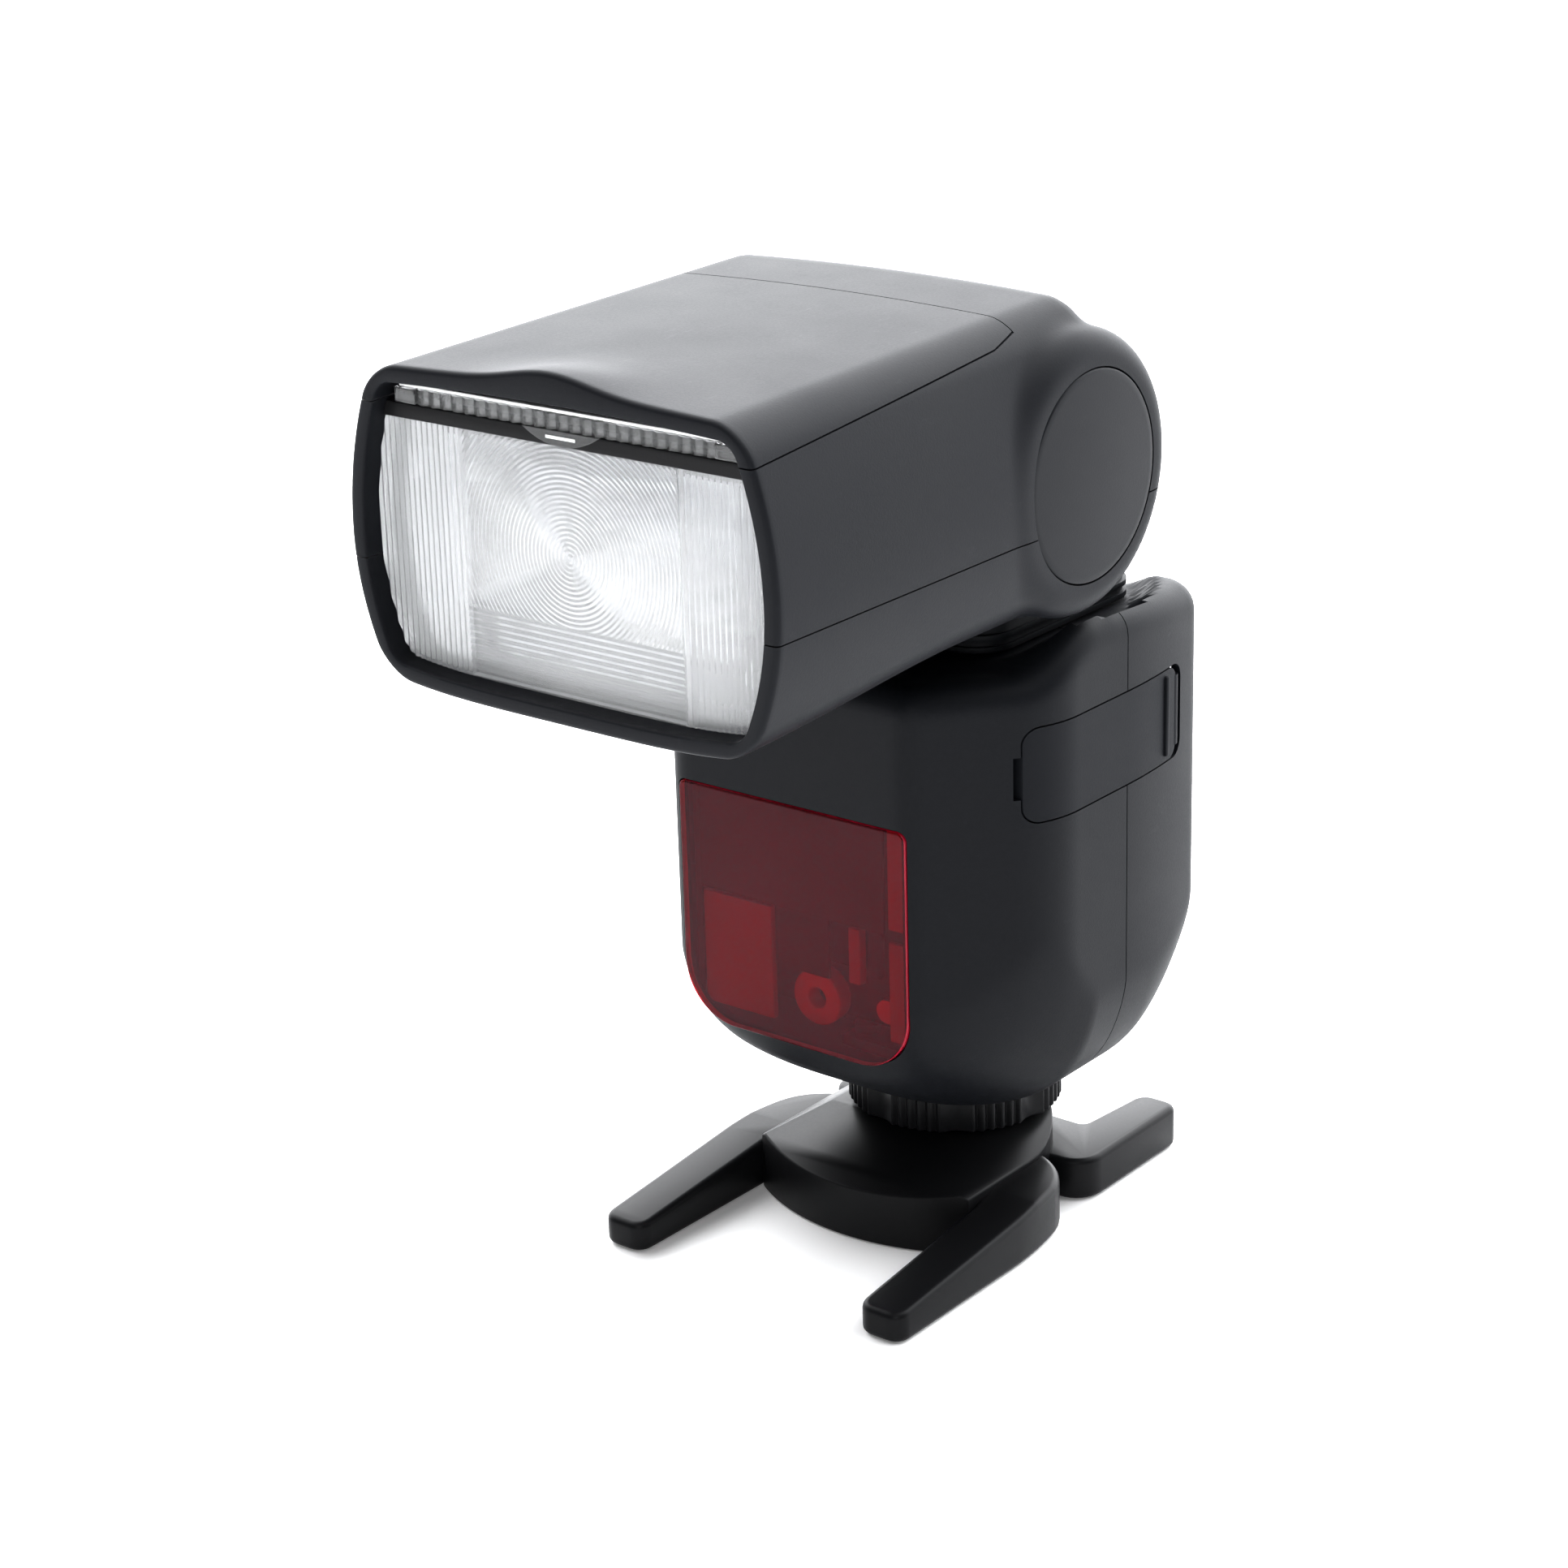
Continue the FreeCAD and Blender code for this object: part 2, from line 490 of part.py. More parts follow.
def make_body():
    outer = body_solid("body_outer", "0")
    inner = body_solid("body_inner", "shell_wall")
    valley = rod("valley", "z", "valley_half_width", VALLEY_TOP, "shoulder_top+5", y=TURRET_Y)
    deck = rod("valley_deck", "z", "valley_half_width+shell_wall", f"{VALLEY_TOP}-shell_wall",
               "shoulder_top+5", y=TURRET_Y)
    hollow = cut("body_hollow", inner, deck)
    bosses = [rod(f"screw_boss_{number}", "y", "body_screw_radius+boss_wall",
                  "-seam_y-body_screw_length/2-1", "-seam_y+body_screw_length/2", x=x, z=z)
              for number, (x, z) in enumerate(BODY_SCREWS, 1)]
    shell = fuse("bossed_shell", cut("body_shell", outer, hollow, valley), *bosses)
    journal_hole = rod("journal_hole", "z", "journal_radius+journal_play", "valley_floor-10",
                       "valley_floor+5", y=TURRET_Y)
    neck_hole = rod("neck_hole", "z", "collar_radius+collar_play", "0", f"{FLOOR_TOP}+0.01")
    screw_holes = [rod(f"floor_hole_{number}", "z", "foot_screw_radius", "body_floor+0.6",
                       "body_floor+5", x=x, y=y)
                   for number, (x, y) in enumerate(FOOT_SCREWS, 1)]
    port_y = ("-port_front", "port_hinge_y+port_barrel")
    port_z = ("port_low", "port_high")
    port_hole = rounded_pocket("port_hole", ("25", "body_half_width+3"), port_y, port_z,
                               "port_gap")
    port_pin_hole = rod("port_pin_hole", "z", "port_pin", "port_low-1.6", "port_high+1.6",
                        x="port_hinge_x", y="port_hinge_y")
    cap_hole = block("cap_hole", ("-body_half_width-3", "-body_half_width+8"),
                     (f"{BATTERY_CAP_Y[0]}-port_gap", f"{BATTERY_CAP_Y[1]}+port_gap"),
                     (f"{BATTERY_CAP_Z[0]}-port_gap", f"{BATTERY_CAP_Z[1]}+port_gap"))
    window_hole = prism("window_hole", "XZ", window_outline("window_gap"),
                        "-nose_reach-2", "-nose_reach+8",
                        [("window_corner*0.4", (0, 1, 4, 5))])
    open_shell = cut("open_shell", shell, journal_hole, neck_hole, port_hole, port_pin_hole,
                     cap_hole, window_hole, *screw_holes, *back_panel_holes(),
                     *[body_screw(f"body_screw_hole_{number}", x, z)
                       for number, (x, z) in enumerate(BODY_SCREWS, 1)])
    front_half = block("front_half", ("-body_half_width-5", "body_half_width+5"),
                       ("-nose_reach-5", "-seam_y-seam_gap/2"), ("0", "shoulder_top+9"))
    rear_half = block("rear_half", ("-body_half_width-5", "body_half_width+5"),
                      ("-seam_y+seam_gap/2", "rear_reach+9"), ("0", "shoulder_top+9"))
    node("body_front_cover", common("body_front_cover", open_shell, front_half))
    node("body_rear_cover", common("body_rear_cover", open_shell, rear_half))
    make_port_cover(shell, port_z)
    make_battery(shell)
    make_window(outer)


def make_port_cover(shell, port_z):
    leaf = rounded_pocket("port_leaf", ("25", "body_half_width+3"),
                          ("-port_front", "port_hinge_y"), port_z, "0")
    skin = common("port_skin", shell, leaf)
    barrel = rod("port_barrel_blank", "z", "port_barrel", "port_low", "port_high",
                 x="port_hinge_x", y="port_hinge_y")
    grip = block("port_grip", ("port_hinge_x-0.5", "port_hinge_x+port_barrel"),
                 ("grip_y", "port_hinge_y"), ("port_low+1", "port_high-1"))
    bore = rod("port_bore", "z", "port_pin+pin_fit", "port_low-1", "port_high+1",
               x="port_hinge_x", y="port_hinge_y")
    nail = block("nail_slot", ("20", "body_half_width"), ("-port_front-1", "-port_front+nail_depth"),
                 ("nail_low", "nail_high"))
    node("port_cover", cut("port_cover", fuse("port_solid", skin, barrel, grip), bore, nail))
    node("port_hinge_pin", rod("port_hinge_pin", "z", "port_pin", "port_low-1.6",
                               "port_high+1.6", x="port_hinge_x", y="port_hinge_y"))
    jack = rod("jack_blank", "x", "jack_radius", "port_face-jack_length", "port_face",
               y="-22", z="(port_low+port_high)/2")
    jack_hole = rod("jack_hole", "x", "jack_bore", "port_face-jack_length+1.5", "port_face+1",
                    y="-22", z="(port_low+port_high)/2")
    node("sync_jack", cut("sync_jack", jack, jack_hole))
    usb = block("usb_blank", ("port_face-jack_length", "port_face"),
                ("-10.5", "-10.5+usb_width"),
                ("(port_low+port_high)/2-usb_height/2", "(port_low+port_high)/2+usb_height/2"))
    usb_hole = block("usb_hole", ("port_face-jack_length+1.5", "port_face+1"),
                     ("-10.5+0.4", "-10.5+usb_width-0.4"),
                     ("(port_low+port_high)/2-usb_height/2+0.4",
                      "(port_low+port_high)/2+usb_height/2-0.4"))
    node("usb_port", cut("usb_port", usb, usb_hole))


BAY_X = ("-rear_side_width+3", "battery_inner+battery_play+bay_wall")


def make_battery(shell):
    cap_box = block("cap_box", ("-body_half_width-3", "-body_half_width+8"),
                    BATTERY_CAP_Y, BATTERY_CAP_Z)
    cap = common("battery_cap", shell, cap_box)
    core = block("battery_core", ("-rear_side_width+0.7", "battery_inner"),
                 ("-battery_front", "battery_rear"), ("battery_low", "battery_high"))
    latch_seat = block("latch_seat", ("-body_half_width-1", "-body_half_width+shell_wall+3"),
                       ("-latch_length/2-0.2-2", "latch_length/2+0.2-2"),
                       ("battery_high-latch_width-4.2", "battery_high-3.8"))
    node("battery_pack", cut("battery_pack", fuse("battery_solid", cap, core), latch_seat))
    node("battery_latch", block("battery_latch",
                                ("-body_half_width+0.2", "-body_half_width+shell_wall+0.8"),
                                ("-latch_length/2-2", "latch_length/2-2"),
                                ("battery_high-latch_width-4", "battery_high-4")))
    grown = "(battery_play+bay_wall)"
    bay = block("bay_blank", BAY_X, (f"-battery_front-{grown}", f"battery_rear+{grown}"),
                (f"battery_low-{grown}", f"battery_high+{grown}"))
    hollow = block("bay_hollow", ("-body_half_width-1", "battery_inner+battery_play"),
                   ("-battery_front-battery_play", "battery_rear+battery_play"),
                   ("battery_low-battery_play", "battery_high+battery_play"))
    node("battery_bay", cut("battery_bay", bay, hollow))
    contacts = [block(f"terminal_{number}",
                      (f"{BAY_X[1]}", f"{BAY_X[1]}+0.8"),
                      ("-terminal_size/2-1.5", "terminal_size/2-1.5"),
                      (f"{height}-terminal_size/2", f"{height}+terminal_size/2"))
                for number, height in enumerate(("50", "58", "66"), 1)]
    node("battery_terminals", group("battery_terminals", *contacts))


def make_window(outer):
    blank = prism("window_blank", "XZ", window_outline("0"), "-nose_reach-2",
                  "-nose_reach+window_thickness", [("window_corner*0.4", (0, 1, 4, 5))])
    node("red_window", common("red_window", outer, blank))
    back = "(-nose_reach+shell_wall+chassis_depth)"
    chassis = block("chassis_blank",
                    ("-window_half_width+1", "window_half_width-1"),
                    (f"{back}-chassis_depth+0.4", back), ("window_bottom+3", "window_top+3"))
    room = block("chassis_room",
                 ("-window_half_width+1+chassis_wall", "window_half_width-1-chassis_wall"),
                 ("-nose_reach", f"{back}-chassis_wall"),
                 ("window_bottom+3-chassis_wall", "window_top-17"))
    upper = block("chassis_upper",
                  ("-window_half_width+1+chassis_wall", "window_half_width-1-chassis_wall"),
                  ("-nose_reach", f"{back}-chassis_depth*0.55"), ("window_top-18", "window_top+1"))
    lamp_seat = rod("lamp_seat", "y", "lamp_bore", "-nose_reach-1", "0", z="lamp_height")
    screw_seats = []
    screws = []
    for number, way in enumerate((1, -1), 1):
        x = sided(way, "window_screw_x")
        screw_seats.append(rod(f"window_screw_seat_{number}", "y", "1", f"{back}-chassis_wall-1",
                               f"{back}+1", x=x, z="lamp_height"))
        screws.append(fuse(
            f"window_screw_{number}",
            rod(f"window_screw_head_{number}", "y", "1.9", f"{back}-chassis_wall-1.3",
                f"{back}-chassis_wall", x=x, z="lamp_height"),
            rod(f"window_screw_shank_{number}", "y", "1", f"{back}-chassis_wall-0.5",
                f"{back}+1", x=x, z="lamp_height")))
    node("lamp_chassis", cut("lamp_chassis", chassis, room, upper, lamp_seat, *screw_seats))
    node("window_screws", group("window_screws", *screws))
    node("focus_lamp_lens", cut(
        "focus_lamp_lens",
        rod("lamp_blank", "y", "lamp_radius", f"{back}-chassis_wall-lamp_length",
            f"{back}-chassis_wall", z="lamp_height"),
        rod("lamp_hole", "y", "lamp_bore", "-nose_reach-1", "0", z="lamp_height")))
    node("sensor_bracket", block("sensor_bracket", ("2", "2+sensor_width"),
                                 (f"{back}-chassis_wall-1.5", f"{back}-chassis_wall"),
                                 ("lamp_height+5", "lamp_height+5+sensor_height")))
    node("optical_sensor", block("optical_sensor", ("3.5", "sensor_width+0.5"),
                                 (f"{back}-chassis_wall-3.6", f"{back}-chassis_wall-1.5"),
                                 ("lamp_height+7", "lamp_height+14")))


# ---------------------------------------------------------------- back panel

REAR = "rear_reach"
REAR_IN = "(rear_reach-shell_wall)"
FLANGE_Y = f"({REAR_IN}-0.3)"
KEY_BACK = f"({FLANGE_Y}-key_flange_thickness)"
KEYPAD_Y = f"({KEY_BACK}-key_travel-0.2)"
ROUND_KEYS = {"mode_button": ("-side_key_x", "side_key_high"),
              "wireless_button": ("side_key_x", "side_key_high"),
              "test_button": ("side_key_x", "side_key_low")}


def function_key_x(number):
    return f"({number}-2.5)*function_pitch"


def back_panel_holes():
    past = (f"{REAR_IN}-3", f"{REAR}+3")
    holes = [block("screen_hole", ("-screen_half_width-screen_gap",
                                   "screen_half_width+screen_gap"), past,
                   ("screen_low-screen_gap", "screen_high+screen_gap")),
             rod("dial_hole", "y", "dial_hub_radius+0.1", *past, z="dial_height"),
             block("switch_hole", ("-side_key_x-switch_width/2-switch_travel/2-key_gap",
                                   "-side_key_x+switch_width/2+switch_travel/2+key_gap"), past,
                   ("side_key_low-switch_height/2-key_gap",
                    "side_key_low+switch_height/2+key_gap"))]
    for number in range(1, 5):
        x = function_key_x(number)
        holes.append(block(f"function_hole_{number}",
                           (f"{x}-function_width/2-key_gap", f"{x}+function_width/2+key_gap"),
                           past, ("function_row-function_height/2-key_gap",
                                  "function_row+function_height/2+key_gap")))
    for name, (x, z) in ROUND_KEYS.items():
        holes.append(rod(f"{name}_hole", "y", "side_key_radius+key_gap", *past, x=x, z=z))
    return holes


def make_back_panel():
    for number in range(1, 5):
        x = function_key_x(number)
        name = f"function_button_{number}"
        key = block(f"{name}_key", (f"{x}-function_width/2", f"{x}+function_width/2"),
                    (KEY_BACK, f"{REAR}+key_rise"),
                    ("function_row-function_height/2", "function_row+function_height/2"))
        flange = block(f"{name}_flange",
                       (f"{x}-function_width/2-key_flange", f"{x}+function_width/2+key_flange"),
                       (KEY_BACK, FLANGE_Y),
                       ("function_row-function_height/2-key_flange",
                        "function_row+function_height/2+key_flange"))
        node(name, fuse(name, key, flange))
    for name, (x, z) in ROUND_KEYS.items():
        node(name, fuse(
            name,
            rod(f"{name}_key", "y", "side_key_radius", KEY_BACK, f"{REAR}+key_rise", x=x, z=z),
            rod(f"{name}_flange", "y", "side_key_radius+key_flange", KEY_BACK, FLANGE_Y,
                x=x, z=z)))
    dial = fuse("dial_solid",
                rod("dial_disc", "y", "dial_radius", f"{REAR}+0.2", f"{REAR}+0.2+dial_rise",
                    z="dial_height"),
                rod("dial_hub", "y", "dial_hub_radius", KEY_BACK, f"{REAR}+0.3",
                    z="dial_height"),
                rod("dial_flange", "y", "dial_hub_radius+0.8", KEY_BACK, FLANGE_Y,
                    z="dial_height"))
    node("select_dial", cut("select_dial", dial,
                            rod("dial_bore", "y", "set_key_radius+0.1", f"{KEY_BACK}-1",
                                f"{REAR}+5", z="dial_height")))
    node("set_button", rod("set_button", "y", "set_key_radius", f"{KEY_BACK}+0.1",
                           f"{REAR}+0.2+dial_rise+0.5", z="dial_height"))
    knob = block("switch_knob",
                 ("-side_key_x-switch_travel/2-switch_width/2",
                  "-side_key_x-switch_travel/2+switch_width/2"),
                 (KEY_BACK, f"{REAR}+key_rise+0.3"),
                 ("side_key_low-switch_height/2", "side_key_low+switch_height/2"))
    plate = block("switch_plate",
                  ("-side_key_x-switch_travel/2-switch_width/2-key_flange",
                   "-side_key_x-switch_travel/2+switch_width/2+key_flange"),
                  (KEY_BACK, FLANGE_Y),
                  ("side_key_low-switch_height/2-key_flange",
                   "side_key_low+switch_height/2+key_flange"))
    node("power_switch", fuse("power_switch", knob, plate))
    node("lcd_window", block("lcd_window", ("-screen_half_width", "screen_half_width"),
                             (f"{REAR}-screen_thickness", f"{REAR}+screen_rise"),
                             ("screen_low", "screen_high")))
    node("lcd_module", block("lcd_module", ("-screen_half_width+1", "screen_half_width-1"),
                             (f"{REAR}-screen_thickness-0.3-module_depth",
                              f"{REAR}-screen_thickness-0.3"),
                             ("screen_low+1", "screen_high-1")))
    pad = block("keypad_blank", ("-side_key_x-5", "side_key_x+5"),
                (f"{KEYPAD_Y}-keypad_thickness", KEYPAD_Y),
                ("side_key_low-4.5", "function_row+function_height/2+1"))
    node("keypad", cut("keypad", pad,
                       rod("keypad_hole", "y", "dial_hub_radius+1.2", "0", f"{REAR}",
                           z="dial_height")))
    node("control_board", block(
        "control_board", ("-side_key_x-6", "side_key_x+6"),
        (f"{KEYPAD_Y}-keypad_thickness-board_thickness-0.3",
         f"{KEYPAD_Y}-keypad_thickness-0.3"),
        ("side_key_low-4.5", "function_row+function_height/2+1.5")))


def make_inside():
    node("main_board", block("main_board", ("-board_half_width", "board_half_width"),
                             ("-board_y-board_thickness", "-board_y"),
                             ("board_low", "board_high-11")))
    node("main_capacitor", rod("main_capacitor", "z", "capacitor_radius", "capacitor_low",
                               "capacitor_high", x="capacitor_x", y="-capacitor_y"))
    node("body_screws", group("body_screws", *[
        body_screw(f"body_screw_{number}", x, z)
        for number, (x, z) in enumerate(BODY_SCREWS, 1)]))


def body_screw(name, x, z):
    return rod(name, "y", "body_screw_radius", "-seam_y-body_screw_length/2",
               "-seam_y+body_screw_length/2", x=x, z=z)


# ---------------------------------------------------------------- turret

TURRET_BOTTOM = f"({VALLEY_TOP}+turret_gap)"
DECK_BOTTOM = f"({VALLEY_TOP}-shell_wall)"
RETAINER_TOP = f"({DECK_BOTTOM}-0.3)"
PIVOT = ("-pivot_y", "pivot_z")


def make_turret():
    plan = prism("turret_plan", "XY", [
        ("-turret_half_width", "-swivel_y-turret_half_depth"),
        ("turret_half_width", "-swivel_y-turret_half_depth"),
        ("turret_half_width", "-swivel_y+turret_half_depth"),
        ("-turret_half_width", "-swivel_y+turret_half_depth")],
        TURRET_BOTTOM, "turret_slope_height", [("turret_corner", (0, 1, 2, 3))])
    side = prism("turret_side", "YZ", [
        ("-swivel_y-turret_half_depth", TURRET_BOTTOM),
        ("-swivel_y+turret_half_depth", TURRET_BOTTOM),
        ("-swivel_y+turret_half_depth", "turret_back_height"),
        ("turret_slope_y", "turret_slope_height"), ("-pivot_y-10", "turret_slope_height"),
        ("-swivel_y-turret_half_depth", "turret_back_height")],
        "-turret_half_width", "turret_half_width", [("turret_corner*0.5", (2,))])
    base = common("turret_base", plan, side)
    knuckle = rod("turret_knuckle", "x", "knuckle_radius", "-knuckle_half_width",
                  "knuckle_half_width", y=PIVOT[0], z=PIVOT[1])
    journal = rod("turret_journal", "z", "journal_radius", RETAINER_TOP,
                  f"{TURRET_BOTTOM}+1", y=TURRET_Y)
    rims = [prism(f"turret_rim_{number}", "XY", [
        ("-turret_half_width-rim_rise", "-swivel_y-turret_half_depth-rim_rise"),
        ("turret_half_width+rim_rise", "-swivel_y-turret_half_depth-rim_rise"),
        ("turret_half_width+rim_rise", "-swivel_y+turret_half_depth+rim_rise"),
        ("-turret_half_width-rim_rise", "-swivel_y+turret_half_depth+rim_rise")],
        f"{TURRET_BOTTOM}+{low}", f"{TURRET_BOTTOM}+{low}+rim_width",
        [("turret_corner+rim_rise", (0, 1, 2, 3))]) for number, low in ((1, 0), (2, 1.8))]
    bore = rod("turret_bore", "z", "cable_bore", "0", "cable_bore_top", y=TURRET_Y)
    axle_seat = rod("axle_seat", "x", "axle_radius", "-knuckle_half_width-1",
                    "knuckle_half_width+1", y=PIVOT[0], z=PIVOT[1])
    node("swivel_turret", cut("swivel_turret",
                              fuse("turret_solid", base, knuckle, journal, *rims),
                              bore, axle_seat))
    retainer = rod("retainer_blank", "z", "retainer_radius", f"{RETAINER_TOP}-retainer_thickness",
                   RETAINER_TOP, y=TURRET_Y)
    node("swivel_retainer", cut("swivel_retainer", retainer,
                                rod("retainer_bore", "z", "cable_bore", "0", "pivot_z",
                                    y=TURRET_Y)))
    for name, way in (("tilt_axle_left", 1), ("tilt_axle_right", -1)):
        node(name, side_rod(name, way, "axle_radius", "cable_bore+4", "ear_half_width-2",
                            *PIVOT))


# ---------------------------------------------------------------- head

def head_solid(name, wall):
    """Outer form of the head in front of its pivot, moved inwards by a wall."""
    side = inset([
        ("-head_front", "head_bottom", 0, -1), ("-pivot_y-ear_radius-6", "head_rear_bottom", 0, -1),
        ("-top_rear_y", "head_rear_bottom", 0, -1), ("-top_rear_y", "head_rear_top-2", 0, 1),
        ("-top_rear_y-4", "head_rear_top", 0, 1), ("-head_front", "head_top", 0, 1)], wall)
    face = inset([
        ("head_bottom_width", "head_bottom", 0.5, -1),
        ("head_side_low_width", "head_side_low", 0.8, -0.5),
        ("head_low_width", "head_low_height", 1, -0.2), ("head_widest", "seam_z", 1, 0),
        ("head_high_width", "head_high_height", 1, 0.1),
        ("head_side_high_width", "head_side_high", 1, 0.2),
        ("head_shoulder_width", "head_shoulder", 0.8, 0.6),
        ("head_crown_width", "head_rear_top", 0.3, 1)], wall)
    return common(
        name,
        prism(name + "_side", "YZ", side, "-head_widest", "head_widest"),
        prism(name + "_face", "XZ", mirrored(face), "-head_front", "-top_rear_y",
              [("edge_round", (2, 3, 4, 11, 12, 13)), ("edge_round*0.5", (6, 9))]))


def ear(name, way):
    drum = side_rod(f"{name}_drum", way, "ear_radius", "ear_inner", "head_side_high_width",
                    *PIVOT)
    if way > 0:
        bevel = cone(f"{name}_bevel", "x", "ear_radius", "ear_rim", "head_side_high_width",
                     "ear_half_width+0.4", y=PIVOT[0], z=PIVOT[1])
    else:
        bevel = cone(f"{name}_bevel", "x", "ear_rim", "ear_radius", "-ear_half_width-0.4",
                     "-head_side_high_width", y=PIVOT[0], z=PIVOT[1])
    return fuse(name, drum, bevel)


def make_head():
    outer = head_solid("head_outer", "0")
    inner = head_solid("head_inner", "head_wall")
    rim_inner = head_solid("head_rim_inner", "rim_wall")
    behind_rim = block("behind_rim", ("-head_widest", "head_widest"),
                       ("-head_front+rim_depth", "0"), ("head_bottom-1", "head_rear_top+1"))
    ears, ear_rooms, bosses, boss_bores, cap_seats = [], [], [], [], []
    for name, way in (("ear_left", 1), ("ear_right", -1)):
        ears.append(ear(name, way))
        ear_rooms.append(side_rod(f"{name}_room", way, "ear_radius-head_wall",
                                  "ear_inner+head_wall", "ear_half_width-head_wall-1.6", *PIVOT))
        bosses.append(side_rod(f"{name}_boss", way, "boss_radius", "ear_inner",
                               "ear_half_width-1.5", *PIVOT))
        boss_bores.append(side_rod(f"{name}_bore", way, "axle_radius+axle_play",
                                   "ear_inner-1", "ear_half_width-1.5", *PIVOT))
        cap_seats.append(side_rod(f"{name}_cap_seat", way, "cap_radius+cap_gap",
                                  "ear_half_width-1.5", "cap_half_width+1", *PIVOT))
    whole = fuse("head_whole", outer, brow(), *ears)
    throat = block("throat", ("-ear_inner", "ear_inner"), ("-throat_y", "20"),
                   ("head_bottom-5", "pivot_z"))
    rear_open = block("rear_open", ("-ear_inner", "ear_inner"), ("-pivot_y", "20"),
                      ("head_bottom-5", "head_rear_top-4"))
    knuckle_room = rod("knuckle_room", "x", "knuckle_radius+knuckle_gap", "-ear_inner",
                       "ear_inner", y=PIVOT[0], z=PIVOT[1])
    cavity = fuse("head_cavity", common("deep_cavity", inner, behind_rim), rim_inner)
    fore_cavity = cut("fore_cavity", cavity, fuse(
        "ear_keep", *[side_rod(f"ear_keep_{number}", way, "ear_radius", "ear_inner",
                               "head_widest", *PIVOT) for number, way in enumerate((1, -1))]))
    hollow = cut("head_hollowed", whole, fore_cavity, throat, rear_open, knuckle_room,
                 *ear_rooms)
    shell = cut("head_shell", fuse("head_with_bosses", hollow, *bosses), *boss_bores,
                *cap_seats)
    upper_box = block("upper_box", ("-45", "45"), ("-head_front-5", "30"),
                      ("seam_z+head_gap/2", "head_rear_top+5"))
    lower_box = block("lower_box", ("-45", "45"), ("-head_front-5", "30"),
                      ("head_bottom-5", "seam_z-head_gap/2"))
    boss_region = fuse("boss_region", *[
        side_rod(f"boss_region_{number}", way, "boss_radius+0.2", "ear_inner-1",
                 "ear_half_width+2", *PIVOT) for number, way in enumerate((1, -1))])
    boss_keep = fuse("boss_keep", *[
        side_rod(f"boss_keep_{number}", way, "boss_radius", "ear_inner-1",
                 "ear_half_width+2", *PIVOT) for number, way in enumerate((1, -1))])
    cover_box = top_cover_zone("top_cover_box", "0")
    cover_room = top_cover_zone("top_cover_room", "head_gap")
    node("head_upper_housing", cut("head_upper_housing",
                                   common("upper_all", shell, fuse("upper_zone", upper_box,
                                                                   boss_keep)), cover_room))
    node("head_lower_housing", cut("head_lower_housing",
                                   common("lower_all", shell, lower_box), boss_region))
    node("head_top_cover", common("head_top_cover", shell, cover_box))
    for name, way in (("tilt_cap_left", 1), ("tilt_cap_right", -1)):
        node(name, side_rod(name, way, "cap_radius", "ear_half_width-1.4", "cap_half_width",
                            *PIVOT))


def top_cover_zone(name, grow):
    """Region of the top cover: a long wedge over the sides' upper seam, back to a cross seam."""
    return prism(name, "YZ", [
        ("-head_front-5", f"top_seam_front-({grow})"),
        ("-top_seam_y-6", f"top_seam_rear-({grow})"),
        (f"-top_seam_y+({grow})", "top_seam_rear+1.5"), (f"-top_seam_y+({grow})", "head_rear_top+5"),
        ("-head_front-5", "head_rear_top+5")], "-45", "45")


def brow():
    """Raised lip over the middle of the front edge, fading back into the top."""
    face = prism("brow_face", "XZ", mirrored([
        ("brow_half_width", "head_top-1"), ("brow_half_width*0.6", "head_top+brow_rise*0.1"),
        ("brow_half_width*0.27", "head_top+brow_rise")]),
        "-head_front", "-head_front+brow_length", [("brow_half_width*0.4", (1, 2, 3, 4))])
    side = prism("brow_side", "YZ", [
        ("-head_front", "head_top-1"), ("-head_front+brow_length", "head_top-1"),
        ("-head_front+brow_length", "head_top"), ("-head_front", "head_top+brow_rise")],
        "-brow_half_width", "brow_half_width")
    return common("brow", face, side)


LENS_FRONT = "(-head_front+lens_set_back)"
LENS_BACK = f"({LENS_FRONT}+lens_thickness)"
PANEL_FRONT = "(-head_front+panel_set_back)"
PANEL_TOP = "(panel_height+panel_thickness)"
LIP_TOP = "(panel_height+panel_lip)"


